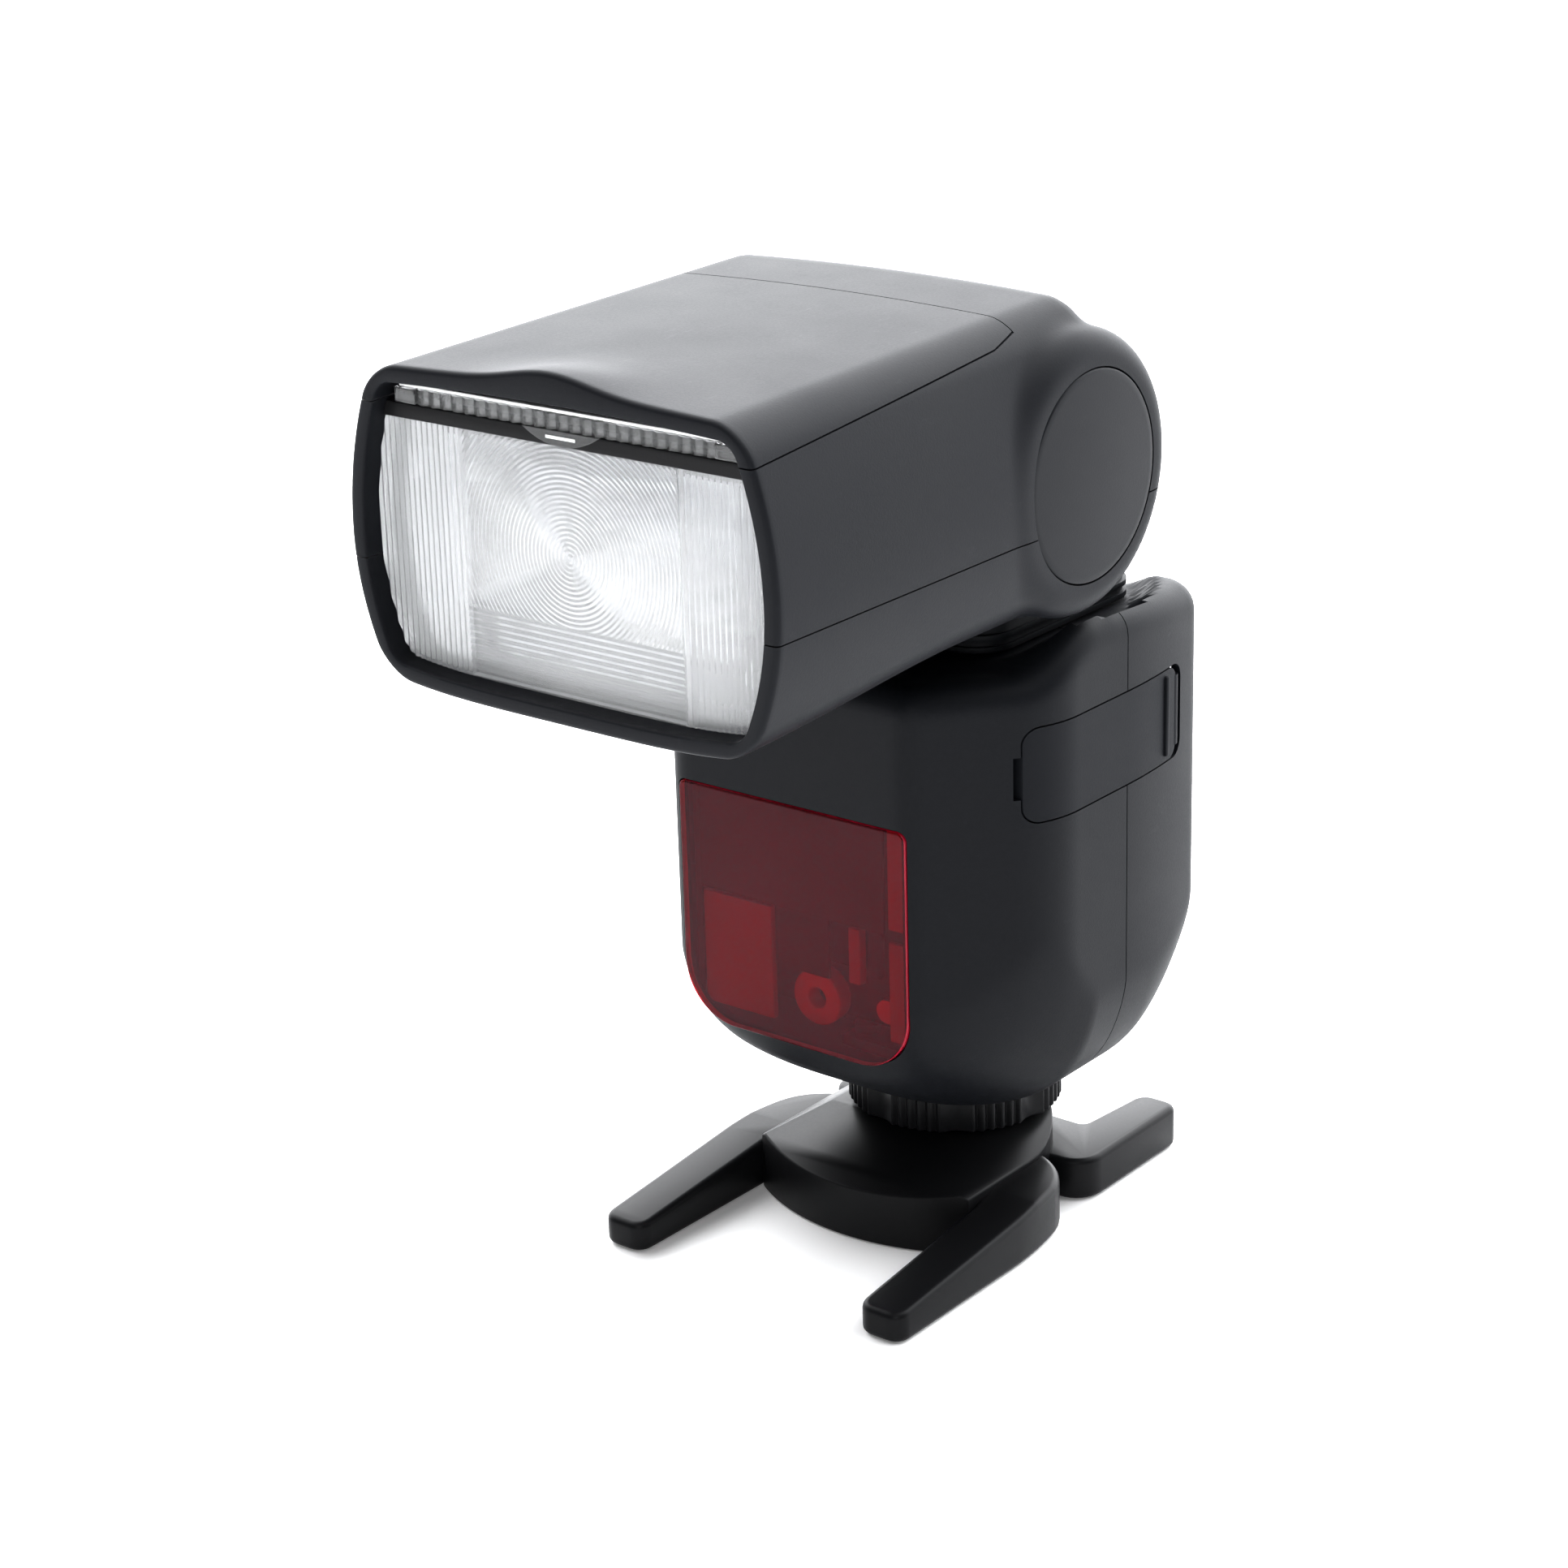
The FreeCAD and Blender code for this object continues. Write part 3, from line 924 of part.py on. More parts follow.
def make_optics():
    lens = block("fresnel_blank", ("-lens_half_width", "lens_half_width"),
                 (LENS_FRONT, LENS_BACK), ("lens_low", "lens_high"))
    node("fresnel_lens", common("fresnel_lens", lens, head_solid("lens_trim", "rim_wall+0.15")))
    bezel = block("bezel_blank", ("-head_widest", "head_widest"),
                  (LENS_BACK, f"{LENS_BACK}+bezel_thickness"),
                  ("head_bottom", "head_rear_top"))
    opening = block("bezel_opening", ("-lens_half_width+1.5", "lens_half_width-1.5"),
                    (f"{LENS_BACK}-1", f"{LENS_BACK}+bezel_thickness+1"),
                    ("lens_low+1.5", "lens_high-1.5"))
    slot = block("bezel_slot", ("-panel_half_width-slot_gap", "panel_half_width+slot_gap"),
                 (f"{LENS_BACK}-1", f"{LENS_BACK}+bezel_thickness+1"),
                 ("panel_height-slot_gap", "head_rear_top"))
    frame_solid = common("bezel_solid", bezel, head_solid("bezel_trim", "rim_wall+0.1"))
    node("lens_bezel", cut("lens_bezel", frame_solid, opening, slot))
    plate = block("panel_plate", ("-panel_half_width", "panel_half_width"),
                  (PANEL_FRONT, f"{PANEL_FRONT}+panel_length"), ("panel_height", PANEL_TOP))
    lip = block("panel_front_lip", ("-panel_half_width", "panel_half_width"),
                (PANEL_FRONT, f"{PANEL_FRONT}+1.6"), ("panel_height", LIP_TOP))
    tab = prism("panel_tab", "XZ", [
        ("-tab_half_width", "panel_height+0.1"), ("-tab_half_width*0.6", "panel_height-tab_drop*0.7"),
        ("0", "panel_height-tab_drop"), ("tab_half_width*0.6", "panel_height-tab_drop*0.7"),
        ("tab_half_width", "panel_height+0.1")],
        PANEL_FRONT, f"{PANEL_FRONT}+0.9", [("tab_radius", (2,))])
    node("wide_panel", fuse("wide_panel", plate, lip, tab))
    node("bounce_card", block("bounce_card", ("-panel_half_width+0.8", "panel_half_width-0.8"),
                              (f"{PANEL_FRONT}+0.3", f"{PANEL_FRONT}+panel_length"),
                              (f"{LIP_TOP}+card_gap*0.5", f"{LIP_TOP}+card_gap*0.5+card_thickness")))
    make_zoom()


def make_zoom():
    half = "reflector_half_height"
    mid = "seam_z"
    blank = prism("reflector_blank", "YZ", [
        ("-reflector_front", f"{mid}-{half}"), ("-reflector_rear-4", f"{mid}-{half}*0.6"),
        ("-reflector_rear", f"{mid}-{half}*0.25"), ("-reflector_rear", f"{mid}+{half}*0.25"),
        ("-reflector_rear-4", f"{mid}+{half}*0.6"), ("-reflector_front", f"{mid}+{half}")],
        "-reflector_half_width", "reflector_half_width")
    wall = "reflector_wall"
    room = prism("reflector_room", "YZ", [
        ("-reflector_front-1", f"{mid}-{half}+{wall}"),
        ("-reflector_rear-4", f"{mid}-{half}*0.6+{wall}*1.4"),
        (f"-reflector_rear-{wall}", f"{mid}-{half}*0.25+{wall}*0.6"),
        (f"-reflector_rear-{wall}", f"{mid}+{half}*0.25-{wall}*0.6"),
        ("-reflector_rear-4", f"{mid}+{half}*0.6-{wall}*1.4"),
        ("-reflector_front-1", f"{mid}+{half}-{wall}")],
        f"-reflector_half_width+{wall}", f"reflector_half_width-{wall}")
    tube_y = "-reflector_rear-4.5"
    tube_hole = rod("tube_hole", "x", "tube_radius", "-reflector_half_width-1",
                    "reflector_half_width+1", y=tube_y, z=mid)
    node("flash_reflector", cut("flash_reflector", blank, room, tube_hole))
    node("flash_tube", rod("flash_tube", "x", "tube_radius", "-reflector_half_width-0.6",
                           "reflector_half_width+0.6", y=tube_y, z=mid))
    back = block("carriage_back", ("-reflector_half_width-1", "reflector_half_width+1"),
                 ("-reflector_rear", "-reflector_rear+1.4"), (f"{mid}-{half}", f"{mid}+{half}"))
    shelf = block("carriage_shelf", ("-rail_x-carriage_lug", "rail_x+carriage_lug-0.6"),
                  ("-reflector_front", "-reflector_rear+1.4"),
                  (f"{mid}-{half}-1.6", f"{mid}-{half}"))
    lugs = [side_block(f"carriage_lug_{number}", way, ("rail_x-2.6", "rail_x+2.4"),
                       ("-reflector_front", "-reflector_front+carriage_lug"),
                       (f"{mid}-{half}-1.6", "rail_z+2.6")) for number, way in enumerate((1, -1))]
    nut_arm = block("carriage_nut", ("-rail_x-2.6", "-reflector_half_width-0.5"),
                    ("-reflector_front", "-reflector_front+carriage_lug"),
                    (f"{mid}-{half}-1.6", "screw_z+3"))
    holes = [side_along_y(f"carriage_hole_{number}", way, "rail_radius+rail_play", "rail_z")
             for number, way in enumerate((1, -1))]
    nut_hole = side_along_y("nut_hole", -1, "screw_radius+rail_play", "screw_z")
    node("zoom_carriage", cut("zoom_carriage", fuse("carriage_solid", back, shelf, *lugs,
                                                    nut_arm), *holes, nut_hole))
    rails = [rod(f"zoom_rail_{number}", "y", "rail_radius", f"{LENS_BACK}+bezel_thickness",
                 "-pivot_y-ear_radius-1", x=sided(way, "rail_x"), z="rail_z")
             for number, way in enumerate((1, -1))]
    node("zoom_rails", group("zoom_rails", *rails))
    motor_front = "(-reflector_front+carriage_lug+zoom_back+2)"
    node("lead_screw", rod("lead_screw", "y", "screw_radius", f"{LENS_BACK}+bezel_thickness+0.3",
                           motor_front, x="-rail_x", z="screw_z"))
    node("zoom_motor", rod("zoom_motor", "y", "motor_radius", f"{motor_front}+0.2",
                           f"{motor_front}+0.2+motor_length", x="-rail_x", z="screw_z"))


def side_along_y(name, way, radius, z):
    return rod(name, "y", radius, "-head_front", "0", x=sided(way, "rail_x"), z=z)


# ---------------------------------------------------------------- build and write

def check_document():
    for thing in doc.Objects:
        if "Invalid" in thing.State or "Error" in thing.State:
            raise RuntimeError(f"{thing.Name} failed: {thing.State}")
    for solid in nodes:
        if solid.Shape.isNull() or not solid.Shape.isValid() or not solid.Shape.Solids:
            raise RuntimeError(f"{solid.Label} has no valid solid")


def main():
    make_stand()
    make_foot()
    make_locking_ring()
    make_body()
    make_back_panel()
    make_inside()
    make_turret()
    make_head()
    make_optics()
    doc.recompute()
    check_document()
    os.makedirs("parts", exist_ok=True)
    for solid in nodes:
        solid.Shape.exportStep(f"parts/{solid.Label}.step")
        print(f"{solid.Label}: {len(solid.Shape.Solids)} solid, {solid.Shape.Volume:.0f} mm3")


main()
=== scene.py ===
"""Speedlight flash on its mini stand: the looks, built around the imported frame.

Lengths are in metres; form functions work in millimetres, the unit that their numbers are written in.
The flash looks along -Y, +Z is up and +X is its left side, which carries the port cover.
"""
import json
import math

import bpy
import numpy as np
from bpy.props import FloatProperty, FloatVectorProperty, IntProperty, PointerProperty
from bpy.types import Operator, Panel, PropertyGroup
from mathutils import Matrix, Vector


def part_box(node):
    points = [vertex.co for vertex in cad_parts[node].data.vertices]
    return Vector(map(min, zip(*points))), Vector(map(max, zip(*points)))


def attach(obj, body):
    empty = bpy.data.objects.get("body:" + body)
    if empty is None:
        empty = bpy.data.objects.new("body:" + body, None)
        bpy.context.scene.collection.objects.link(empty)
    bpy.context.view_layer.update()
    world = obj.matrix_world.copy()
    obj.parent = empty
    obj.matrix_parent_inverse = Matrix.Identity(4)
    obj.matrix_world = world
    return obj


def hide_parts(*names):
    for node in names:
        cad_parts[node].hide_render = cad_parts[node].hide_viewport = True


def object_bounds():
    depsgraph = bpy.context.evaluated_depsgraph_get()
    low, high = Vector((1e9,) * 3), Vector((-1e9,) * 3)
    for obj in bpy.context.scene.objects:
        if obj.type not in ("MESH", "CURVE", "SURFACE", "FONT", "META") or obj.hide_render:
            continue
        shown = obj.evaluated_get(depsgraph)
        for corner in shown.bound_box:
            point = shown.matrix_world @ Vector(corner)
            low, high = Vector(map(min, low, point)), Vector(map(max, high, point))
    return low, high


bl_info = {
    "name": "Speedlight flash",
    "version": (1, 0, 0),
    "blender": (4, 5, 0),
    "location": "View3D > Sidebar > Speedlight",
    "description": "Builds the outer pieces, materials and stage of a speedlight flash",
    "category": "Object",
}

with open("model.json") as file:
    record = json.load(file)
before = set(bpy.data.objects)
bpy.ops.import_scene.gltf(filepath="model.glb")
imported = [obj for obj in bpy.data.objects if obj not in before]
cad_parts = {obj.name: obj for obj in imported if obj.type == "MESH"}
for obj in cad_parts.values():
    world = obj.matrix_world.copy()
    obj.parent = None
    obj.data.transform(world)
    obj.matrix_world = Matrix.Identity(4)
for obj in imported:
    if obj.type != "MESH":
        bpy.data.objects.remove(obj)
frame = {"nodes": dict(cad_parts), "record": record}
CAD_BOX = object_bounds()
NODES = frame["nodes"]
JOINTS = {joint["name"]: joint for joint in frame["record"]["behaviour"]["joints"]}
MM = 0.001


# ---------------------------------------------------------------- places taken from the frame

def node_box(node):
    """Lowest and highest corner of a node, in millimetres."""
    low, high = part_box(node)
    return np.array(low) / MM, np.array(high) / MM


def seam(node, next_node, axis):
    """Middle of the seam where one node ends and the next begins, along an axis."""
    return (node_box(node)[1][axis] + node_box(next_node)[0][axis]) / 2


PIVOT_Y, PIVOT_Z = (value / MM for value in JOINTS["head_tilt"]["pos_m"][1:])
SWIVEL_Y = JOINTS["head_swivel"]["pos_m"][1] / MM
HEAD_FRONT = node_box("head_lower_housing")[0][1]
HEAD_SEAM = seam("head_lower_housing", "head_upper_housing", 2)
BODY_SEAM = seam("body_front_cover", "body_rear_cover", 1)
EAR_RADIUS = 21.0
THROAT_HALF = 27.2
CAP_RADIUS = 15.5
NOSE_Y = -41.0
BACK_Y = 22.0
BODY_HALF = 36.0


# ---------------------------------------------------------------- forms, in millimetres

def outer_corner(a, b, radius, cosine=0.0):
    """Two surfaces that meet on an outside corner, rounded; the cosine is that of their normals.

    Inside is negative."""
    u, v = a + radius, b + radius
    reach = np.sqrt(np.maximum(u * u + v * v - 2 * cosine * u * v, 0) / (1 - cosine ** 2))
    across = (u > cosine * v) & (v > cosine * u)
    return np.where(across, reach, np.maximum(u, v)) - radius


def soft_join(a, b, radius):
    """Union of two forms with a fillet in the inside corner."""
    blend = np.maximum(radius - np.abs(a - b), 0) / radius
    return np.minimum(a, b) - blend * blend * radius / 4


def ramp(value, low, high):
    """Smooth step from 0 at low to 1 at high."""
    share = np.clip((value - low) / (high - low), 0, 1)
    return share * share * (3 - 2 * share)


def head_form(x, y, z, brow=2.0):
    """Head housing: bulging sides, crowned top with a raised brow, round ears at the pivot."""
    width = 37.95 - np.where(z > 123, 0.0094, 0.0128) * (z - 123) ** 2
    sides = np.abs(x) - width
    share = (y - HEAD_FRONT) / (PIVOT_Y - HEAD_FRONT)
    lift = brow * np.exp(-(x / 9.5) ** 2) * np.exp(-(np.maximum(y - HEAD_FRONT, 0) / 9.5) ** 2)
    top = z - (148.2 + 1.6 * share - 0.9 * (x / 32) ** 2 + lift)
    bottom = 101.2 + 2.9 * ramp(y, HEAD_FRONT, PIVOT_Y - 24) + 1.1 * (x / 30) ** 4 - z
    box = outer_corner(sides, top, 4.6)
    box = outer_corner(box, bottom, 4.2)
    box = outer_corner(box, y - (PIVOT_Y + 6), 3.2)
    away = np.hypot(y - PIVOT_Y, z - PIVOT_Z)
    ear = outer_corner(away - EAR_RADIUS, np.abs(x) - 37.5, 4.4)
    return soft_join(box, ear, 1.6)


def inner_head_form(x, y, z):
    """The head's inside has no brow."""
    return head_form(x, y, z, 0)


def body_form(x, y, z):
    """Lower body: flat nose with raked cheeks, bowl underneath, shoulders round the turret."""
    across, along = 0.766, 0.643
    side = np.abs(x) - BODY_HALF + 0.005 * np.maximum(y - BODY_SEAM, 0) ** 2
    cheek = across * np.abs(x) - along * y - 43.0
    nose = NOSE_Y - y
    plan = outer_corner(outer_corner(side, cheek, 16, across), nose, 5, along)
    plan = outer_corner(plan, y - BACK_Y, 6)
    fore = np.maximum(-y - 13, 0) / 28
    aft = np.maximum(y - 3, 0) / 19
    bowl = 20 + 14.5 * fore ** 1.7 + 17.5 * (np.abs(x) / BODY_HALF) ** 4 * (1 + 1.7 * fore)
    bottom = (bowl + 16 * aft ** 1.6 - z) * 0.8
    shoulder = 96.4 + 6 * ramp(y, -27.5, -12.5) - 0.11 * np.maximum(y + 8, 0)
    away = np.hypot(x, y - SWIVEL_Y)
    top = z - (97 + (shoulder - 97) * ramp(away, 29.8, 34.6))
    return outer_corner(outer_corner(plan, bottom, 5), top, 4.2)


# ---------------------------------------------------------------- modelling helpers

def only(piece):
    """Makes one object the selected and active one."""
    bpy.ops.object.select_all(action="DESELECT")
    piece.select_set(True)
    bpy.context.view_layer.objects.active = piece


def named(name):
    """The object that an operator has just added, with its name and its place in its mesh."""
    piece = bpy.context.active_object
    piece.name = name
    piece.data.name = name
    only(piece)
    bpy.ops.object.transform_apply(location=True, rotation=True, scale=True)
    return piece


def add_box(name, low, high):
    middle = [(a + b) / 2 for a, b in zip(low, high)]
    size = [b - a for a, b in zip(low, high)]
    bpy.ops.mesh.primitive_cube_add(size=1, location=middle, scale=size)
    return named(name)


TURNS = {"x": (0, math.pi / 2, 0), "y": (math.pi / 2, 0, 0), "z": (0, 0, 0)}


def add_drum(name, axis, radius, low, high, centre, vertices=96):
    """Cylinder from low to high along an axis."""
    place = list(centre)
    place["xyz".index(axis)] = (low + high) / 2
    bpy.ops.mesh.primitive_cylinder_add(vertices=vertices, radius=radius, depth=high - low,
                                        location=place, rotation=TURNS[axis])
    return named(name)


def coordinates(piece):
    points = np.empty(len(piece.data.vertices) * 3)
    piece.data.vertices.foreach_get("co", points)
    return points.reshape(-1, 3)


def set_coordinates(piece, points):
    piece.data.vertices.foreach_set("co", np.ascontiguousarray(points, dtype=float).ravel())
    piece.data.update()


def edit(piece, mode):
    only(piece)
    bpy.ops.object.mode_set(mode="EDIT")
    bpy.ops.mesh.select_mode(type=mode)
    bpy.ops.mesh.select_all(action="DESELECT")


def leave():
    bpy.ops.object.mode_set(mode="OBJECT")


def choose_faces(piece, test):
    """Selects the faces whose middle passes a test on its coordinates and normal."""
    edit(piece, "FACE")
    leave()
    for face in piece.data.polygons:
        face.select = bool(test(face.center, face.normal))
    bpy.ops.object.mode_set(mode="EDIT")


def apply_modifier(piece, kind, **settings):
    only(piece)
    modifier = piece.modifiers.new(kind.lower(), kind)
    for name, value in settings.items():
        setattr(modifier, name, value)
    bpy.ops.object.modifier_apply(modifier=modifier.name)


def carve(piece, cutter, operation="DIFFERENCE", keep=False):
    apply_modifier(piece, "BOOLEAN", object=cutter, operation=operation, solver="MANIFOLD")
    if not keep:
        bpy.data.objects.remove(cutter)
    return piece


def copied(piece, name):
    twin = piece.copy()
    twin.data = piece.data.copy()
    twin.name = name
    twin.data.name = name
    bpy.context.scene.collection.objects.link(twin)
    return twin


def joined(name, pieces):
    """One object made of several."""
    only(pieces[0])
    for piece in pieces[1:]:
        piece.select_set(True)
    bpy.ops.object.join()
    pieces[0].name = name
    return pieces[0]


def soften(piece, width, segments=2, angle=35):
    """Small round on every edge that is sharper than an angle."""
    apply_modifier(piece, "BEVEL", width=width, segments=segments, limit_method="ANGLE",
                   angle_limit=math.radians(angle), use_clamp_overlap=True,
                   harden_normals=False, miter_outer="MITER_ARC")
    return piece


def grown_form(name, form, low, high, centre, cuts):
    """Closed skin of a form: a subdivided box whose vertices move along rays from a centre."""
    piece = add_box(name, low, high)
    edit(piece, "VERT")
    bpy.ops.mesh.select_all(action="SELECT")
    bpy.ops.mesh.subdivide(number_cuts=cuts)
    leave()
    middle = np.array(centre, dtype=float)
    ray = coordinates(piece) - middle
    near = np.zeros(len(ray))
    far = np.full(len(ray), 1.6)
    for _ in range(40):
        half = (near + far) / 2
        inside = form(*(middle + ray * half[:, None]).T) < 0
        near = np.where(inside, half, near)
        far = np.where(inside, far, half)
    set_coordinates(piece, middle + ray * near[:, None])
    return piece


def ring_rays(half_width, low, high, across, upright):
    """Rays in X and Z to points on a rectangle, closer together near its corners."""
    corners = [(half_width, high), (-half_width, high), (-half_width, low), (half_width, low)]
    rays = []
    for start, end, count in zip(corners, corners[1:] + corners[:1], (across, upright) * 2):
        even = np.arange(count) / count
        share = even / 2 + (1 - np.cos(np.pi * even)) / 4
        rays.append(np.array(start) + share[:, None] * (np.array(end) - np.array(start)))
    rays = np.concatenate(rays)
    return rays / np.hypot(*rays.T)[:, None]


def wrapped_form(name, stations, level, rays):
    """Closed skin wrapped round a level line along Y.

    A station is a form, a place on the line and a depth under the form's surface."""
    rows, turns = len(stations) - 1, len(rays)
    bpy.ops.mesh.primitive_grid_add(x_subdivisions=rows, y_subdivisions=turns, size=1)
    piece = named(name)
    places = np.rint((coordinates(piece)[:, :2] + 0.5) * (rows, turns)).astype(int)
    placed = np.empty((rows + 1, turns, 3))
    for row, (form, y, depth) in zip(placed, stations):
        near = np.zeros(turns)
        far = np.full(turns, 70.0)
        for _ in range(34):
            half = (near + far) / 2
            inside = form(rays[:, 0] * half, np.full(turns, y), level + rays[:, 1] * half) < -depth
            near = np.where(inside, half, near)
            far = np.where(inside, far, half)
        row[:, 0] = rays[:, 0] * near
        row[:, 1] = y
        row[:, 2] = level + rays[:, 1] * near
    set_coordinates(piece, placed[places[:, 0], places[:, 1] % turns])
    edit(piece, "VERT")
    bpy.ops.mesh.select_all(action="SELECT")
    bpy.ops.mesh.remove_doubles(threshold=0.0005)
    bpy.ops.mesh.select_all(action="SELECT")
    bpy.ops.mesh.fill_holes(sides=0)
    bpy.ops.mesh.select_all(action="SELECT")
    bpy.ops.mesh.normals_make_consistent(inside=False)
    leave()
    return piece


def prism(name, axis, outline, low, high):
    """Prism from an outline in the two other axes."""
    order = {"x": (1, 2, 0), "y": (0, 2, 1), "z": (0, 1, 2)}[axis]
    bpy.ops.mesh.primitive_circle_add(vertices=len(outline), radius=1, fill_type="NGON")
    piece = named(name)
    points = np.zeros((len(outline), 3))
    points[:, order[0]], points[:, order[1]] = np.array(outline, dtype=float).T
    points[:, order[2]] = low
    set_coordinates(piece, points)
    edit(piece, "FACE")
    bpy.ops.mesh.select_all(action="SELECT")
    step = [0, 0, 0]
    step[order[2]] = high - low
    bpy.ops.mesh.extrude_region_move(TRANSFORM_OT_translate={"value": step})
    bpy.ops.mesh.select_all(action="SELECT")
    bpy.ops.mesh.normals_make_consistent(inside=False)
    leave()
    return piece


def rectangle(low, high):
    """Corners of a rectangle, round from the lowest one."""
    return [(low[0], low[1]), (high[0], low[1]), (high[0], high[1]), (low[0], high[1])]


def rounded_prism(name, axis, outline, low, high, *rounds, segments=8):
    """Prism whose long edges are rounded; each round is a radius and corner numbers."""
    piece = prism(name, axis, outline, low, high)
    u, v, along = {"x": (1, 2, 0), "y": (0, 2, 1), "z": (0, 1, 2)}[axis]
    for radius, corners in rounds:
        edit(piece, "EDGE")
        leave()
        points = coordinates(piece)
        for edge in piece.data.edges:
            a, b = (points[i] for i in edge.vertices)
            edge.select = abs(a[along] - b[along]) > 1e-4 and any(
                math.hypot(a[u] - outline[i][0], a[v] - outline[i][1]) < 1e-3 for i in corners)
        bpy.ops.object.mode_set(mode="EDIT")
        bpy.ops.mesh.bevel(offset=radius, segments=segments, affect="EDGES")
        leave()
    return piece


def done(piece, body, material, replaced=(), smooth=30):
    """Finishes a piece: metres, smooth shading, material, body and slot."""
    only(piece)
    piece.scale = (MM, MM, MM)
    bpy.ops.object.transform_apply(location=True, rotation=True, scale=True)
    bpy.ops.object.shade_smooth_by_angle(angle=math.radians(smooth))
    piece.data.materials.clear()
    piece.data.materials.append(material)
    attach(piece, body)
    if replaced:
        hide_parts(*replaced)
    return piece


# ---------------------------------------------------------------- shader maths

class Socket:
    """An output socket that can be used in plain arithmetic; each sign adds a Math node."""

    def __init__(self, tree, output):
        self.tree = tree
        self.output = output

    def maths(self, operation, a, b=None):
        values = {0: a} if b is None else {0: a, 1: b}
        return self.tree.node("ShaderNodeMath", {"operation": operation}, values)

    def __add__(self, other):
        return self.maths("ADD", self, other)

    def __sub__(self, other):
        return self.maths("SUBTRACT", self, other)

    def __mul__(self, other):
        return self.maths("MULTIPLY", self, other)

    __radd__ = __add__
    __rmul__ = __mul__


class Finish:
    """One procedural material: a node adder and the shader's own sockets."""

    def __init__(self, name, color, roughness, **constants):
        self.material = bpy.data.materials.new(name)
        self.material.use_nodes = True
        self.links = self.material.node_tree.links
        self.shader = self.material.node_tree.nodes["Principled BSDF"]
        self.set("Base Color", (*color, 1))
        self.set("Roughness", roughness)
        for key, value in constants.items():
            self.set(key.replace("_", " ").title().replace("Ior", "IOR"), value)
        self.place = self.node("ShaderNodeTexCoord", {}, {}, "Object")

    def node(self, kind, settings, values, output=0):
        added = self.material.node_tree.nodes.new(kind)
        for key, value in settings.items():
            if key == "stops":
                for element, (position, shade) in zip(added.color_ramp.elements, value):
                    element.position = position
                    element.color = (shade, shade, shade, 1)
            else:
                setattr(added, key, value)
        for key, value in values.items():
            if isinstance(value, Socket):
                self.links.new(value.output, added.inputs[key])
            else:
                added.inputs[key].default_value = value
        return Socket(self, added.outputs[output])

    def set(self, key, value):
        if isinstance(value, Socket):
            self.links.new(value.output, self.shader.inputs[key])
        else:
            self.shader.inputs[key].default_value = value

    def noise(self, scale, detail=2.0, roughness=0.5, place=None):
        return self.node("ShaderNodeTexNoise", {}, {
            "Vector": place or self.place, "Scale": scale, "Detail": detail,
            "Roughness": roughness}, "Fac")

    def stretched(self, factors):
        return self.node("ShaderNodeVectorMath", {"operation": "MULTIPLY"},
                         {0: self.place, 1: factors})

    def part_of_place(self, axis):
        return self.node("ShaderNodeSeparateXYZ", {}, {0: self.place}, axis)

    def ramp(self, value, low, high):
        return self.node("ShaderNodeMapRange", {"interpolation_type": "SMOOTHSTEP"}, {
            "Value": value, "From Min": low, "From Max": high}, "Result")

    def mix(self, share, color_a, color_b):
        return self.node("ShaderNodeMix", {"data_type": "RGBA"}, {
            0: share, 6: color_a, 7: color_b}, 2)

    def bump(self, height, strength, distance):
        self.set("Normal", self.node("ShaderNodeBump", {}, {
            "Height": height, "Strength": strength, "Distance": distance}, "Normal"))


def shade(color, factor):
    return tuple(min(value * factor, 1.0) for value in color) + (1,)


def moulded(name, color, roughness, grain=0.00035, depth=0.00003, strength=0.5, **constants):
    """Moulded plastic: a spark-eroded grain, slow cloudiness of tone and faint handling marks."""
    finish = Finish(name, color, roughness, **constants)
    finish.set("Specular IOR Level", 0.17)
    fine = finish.noise(1 / grain, 3, 0.6)
    coarse = finish.noise(60, 3, 0.55)
    marks = finish.ramp(finish.noise(1, 4, 0.7, finish.stretched((900, 120, 320))), 0.62, 0.8)
    tone = finish.mix(coarse * 0.6 + fine * 0.4, shade(color, 0.82), shade(color, 1.2))
    finish.set("Base Color", finish.mix(marks * 0.25, tone, shade(color, 1.9)))
    finish.set("Roughness", coarse * 0.08 + (fine * 0.1 + (roughness - 0.09)) - marks * 0.05)
    finish.bump(fine, strength, depth)
    return finish.material


def metal(name, color, roughness, direction=(30, 30, 3000), depth=0.000004):
    """Plated metal with fine drawn lines and slight tarnish."""
    finish = Finish(name, color, roughness, metallic=1.0)
    lines = finish.noise(1, 3, 0.6, finish.stretched(direction))
    stain = finish.noise(220, 3, 0.6)
    finish.set("Base Color", finish.mix(stain, shade(color, 0.8), shade(color, 1.06)))
    finish.set("Roughness", roughness + stain * 0.12 + (lines - 0.5) * 0.12)
    finish.bump(lines, 0.35, depth)
    return finish.material


def clear(name, color, roughness, transmission, ior=1.49, haze=0.02):
    """Clear or tinted moulded plastic with slight flow marks."""
    finish = Finish(name, color, roughness, transmission_weight=transmission, ior=ior)
    flow = finish.noise(90, 2, 0.5)
    finish.set("Roughness", roughness + flow * haze)
    finish.bump(flow, 0.05, 0.0001)
    return finish.material


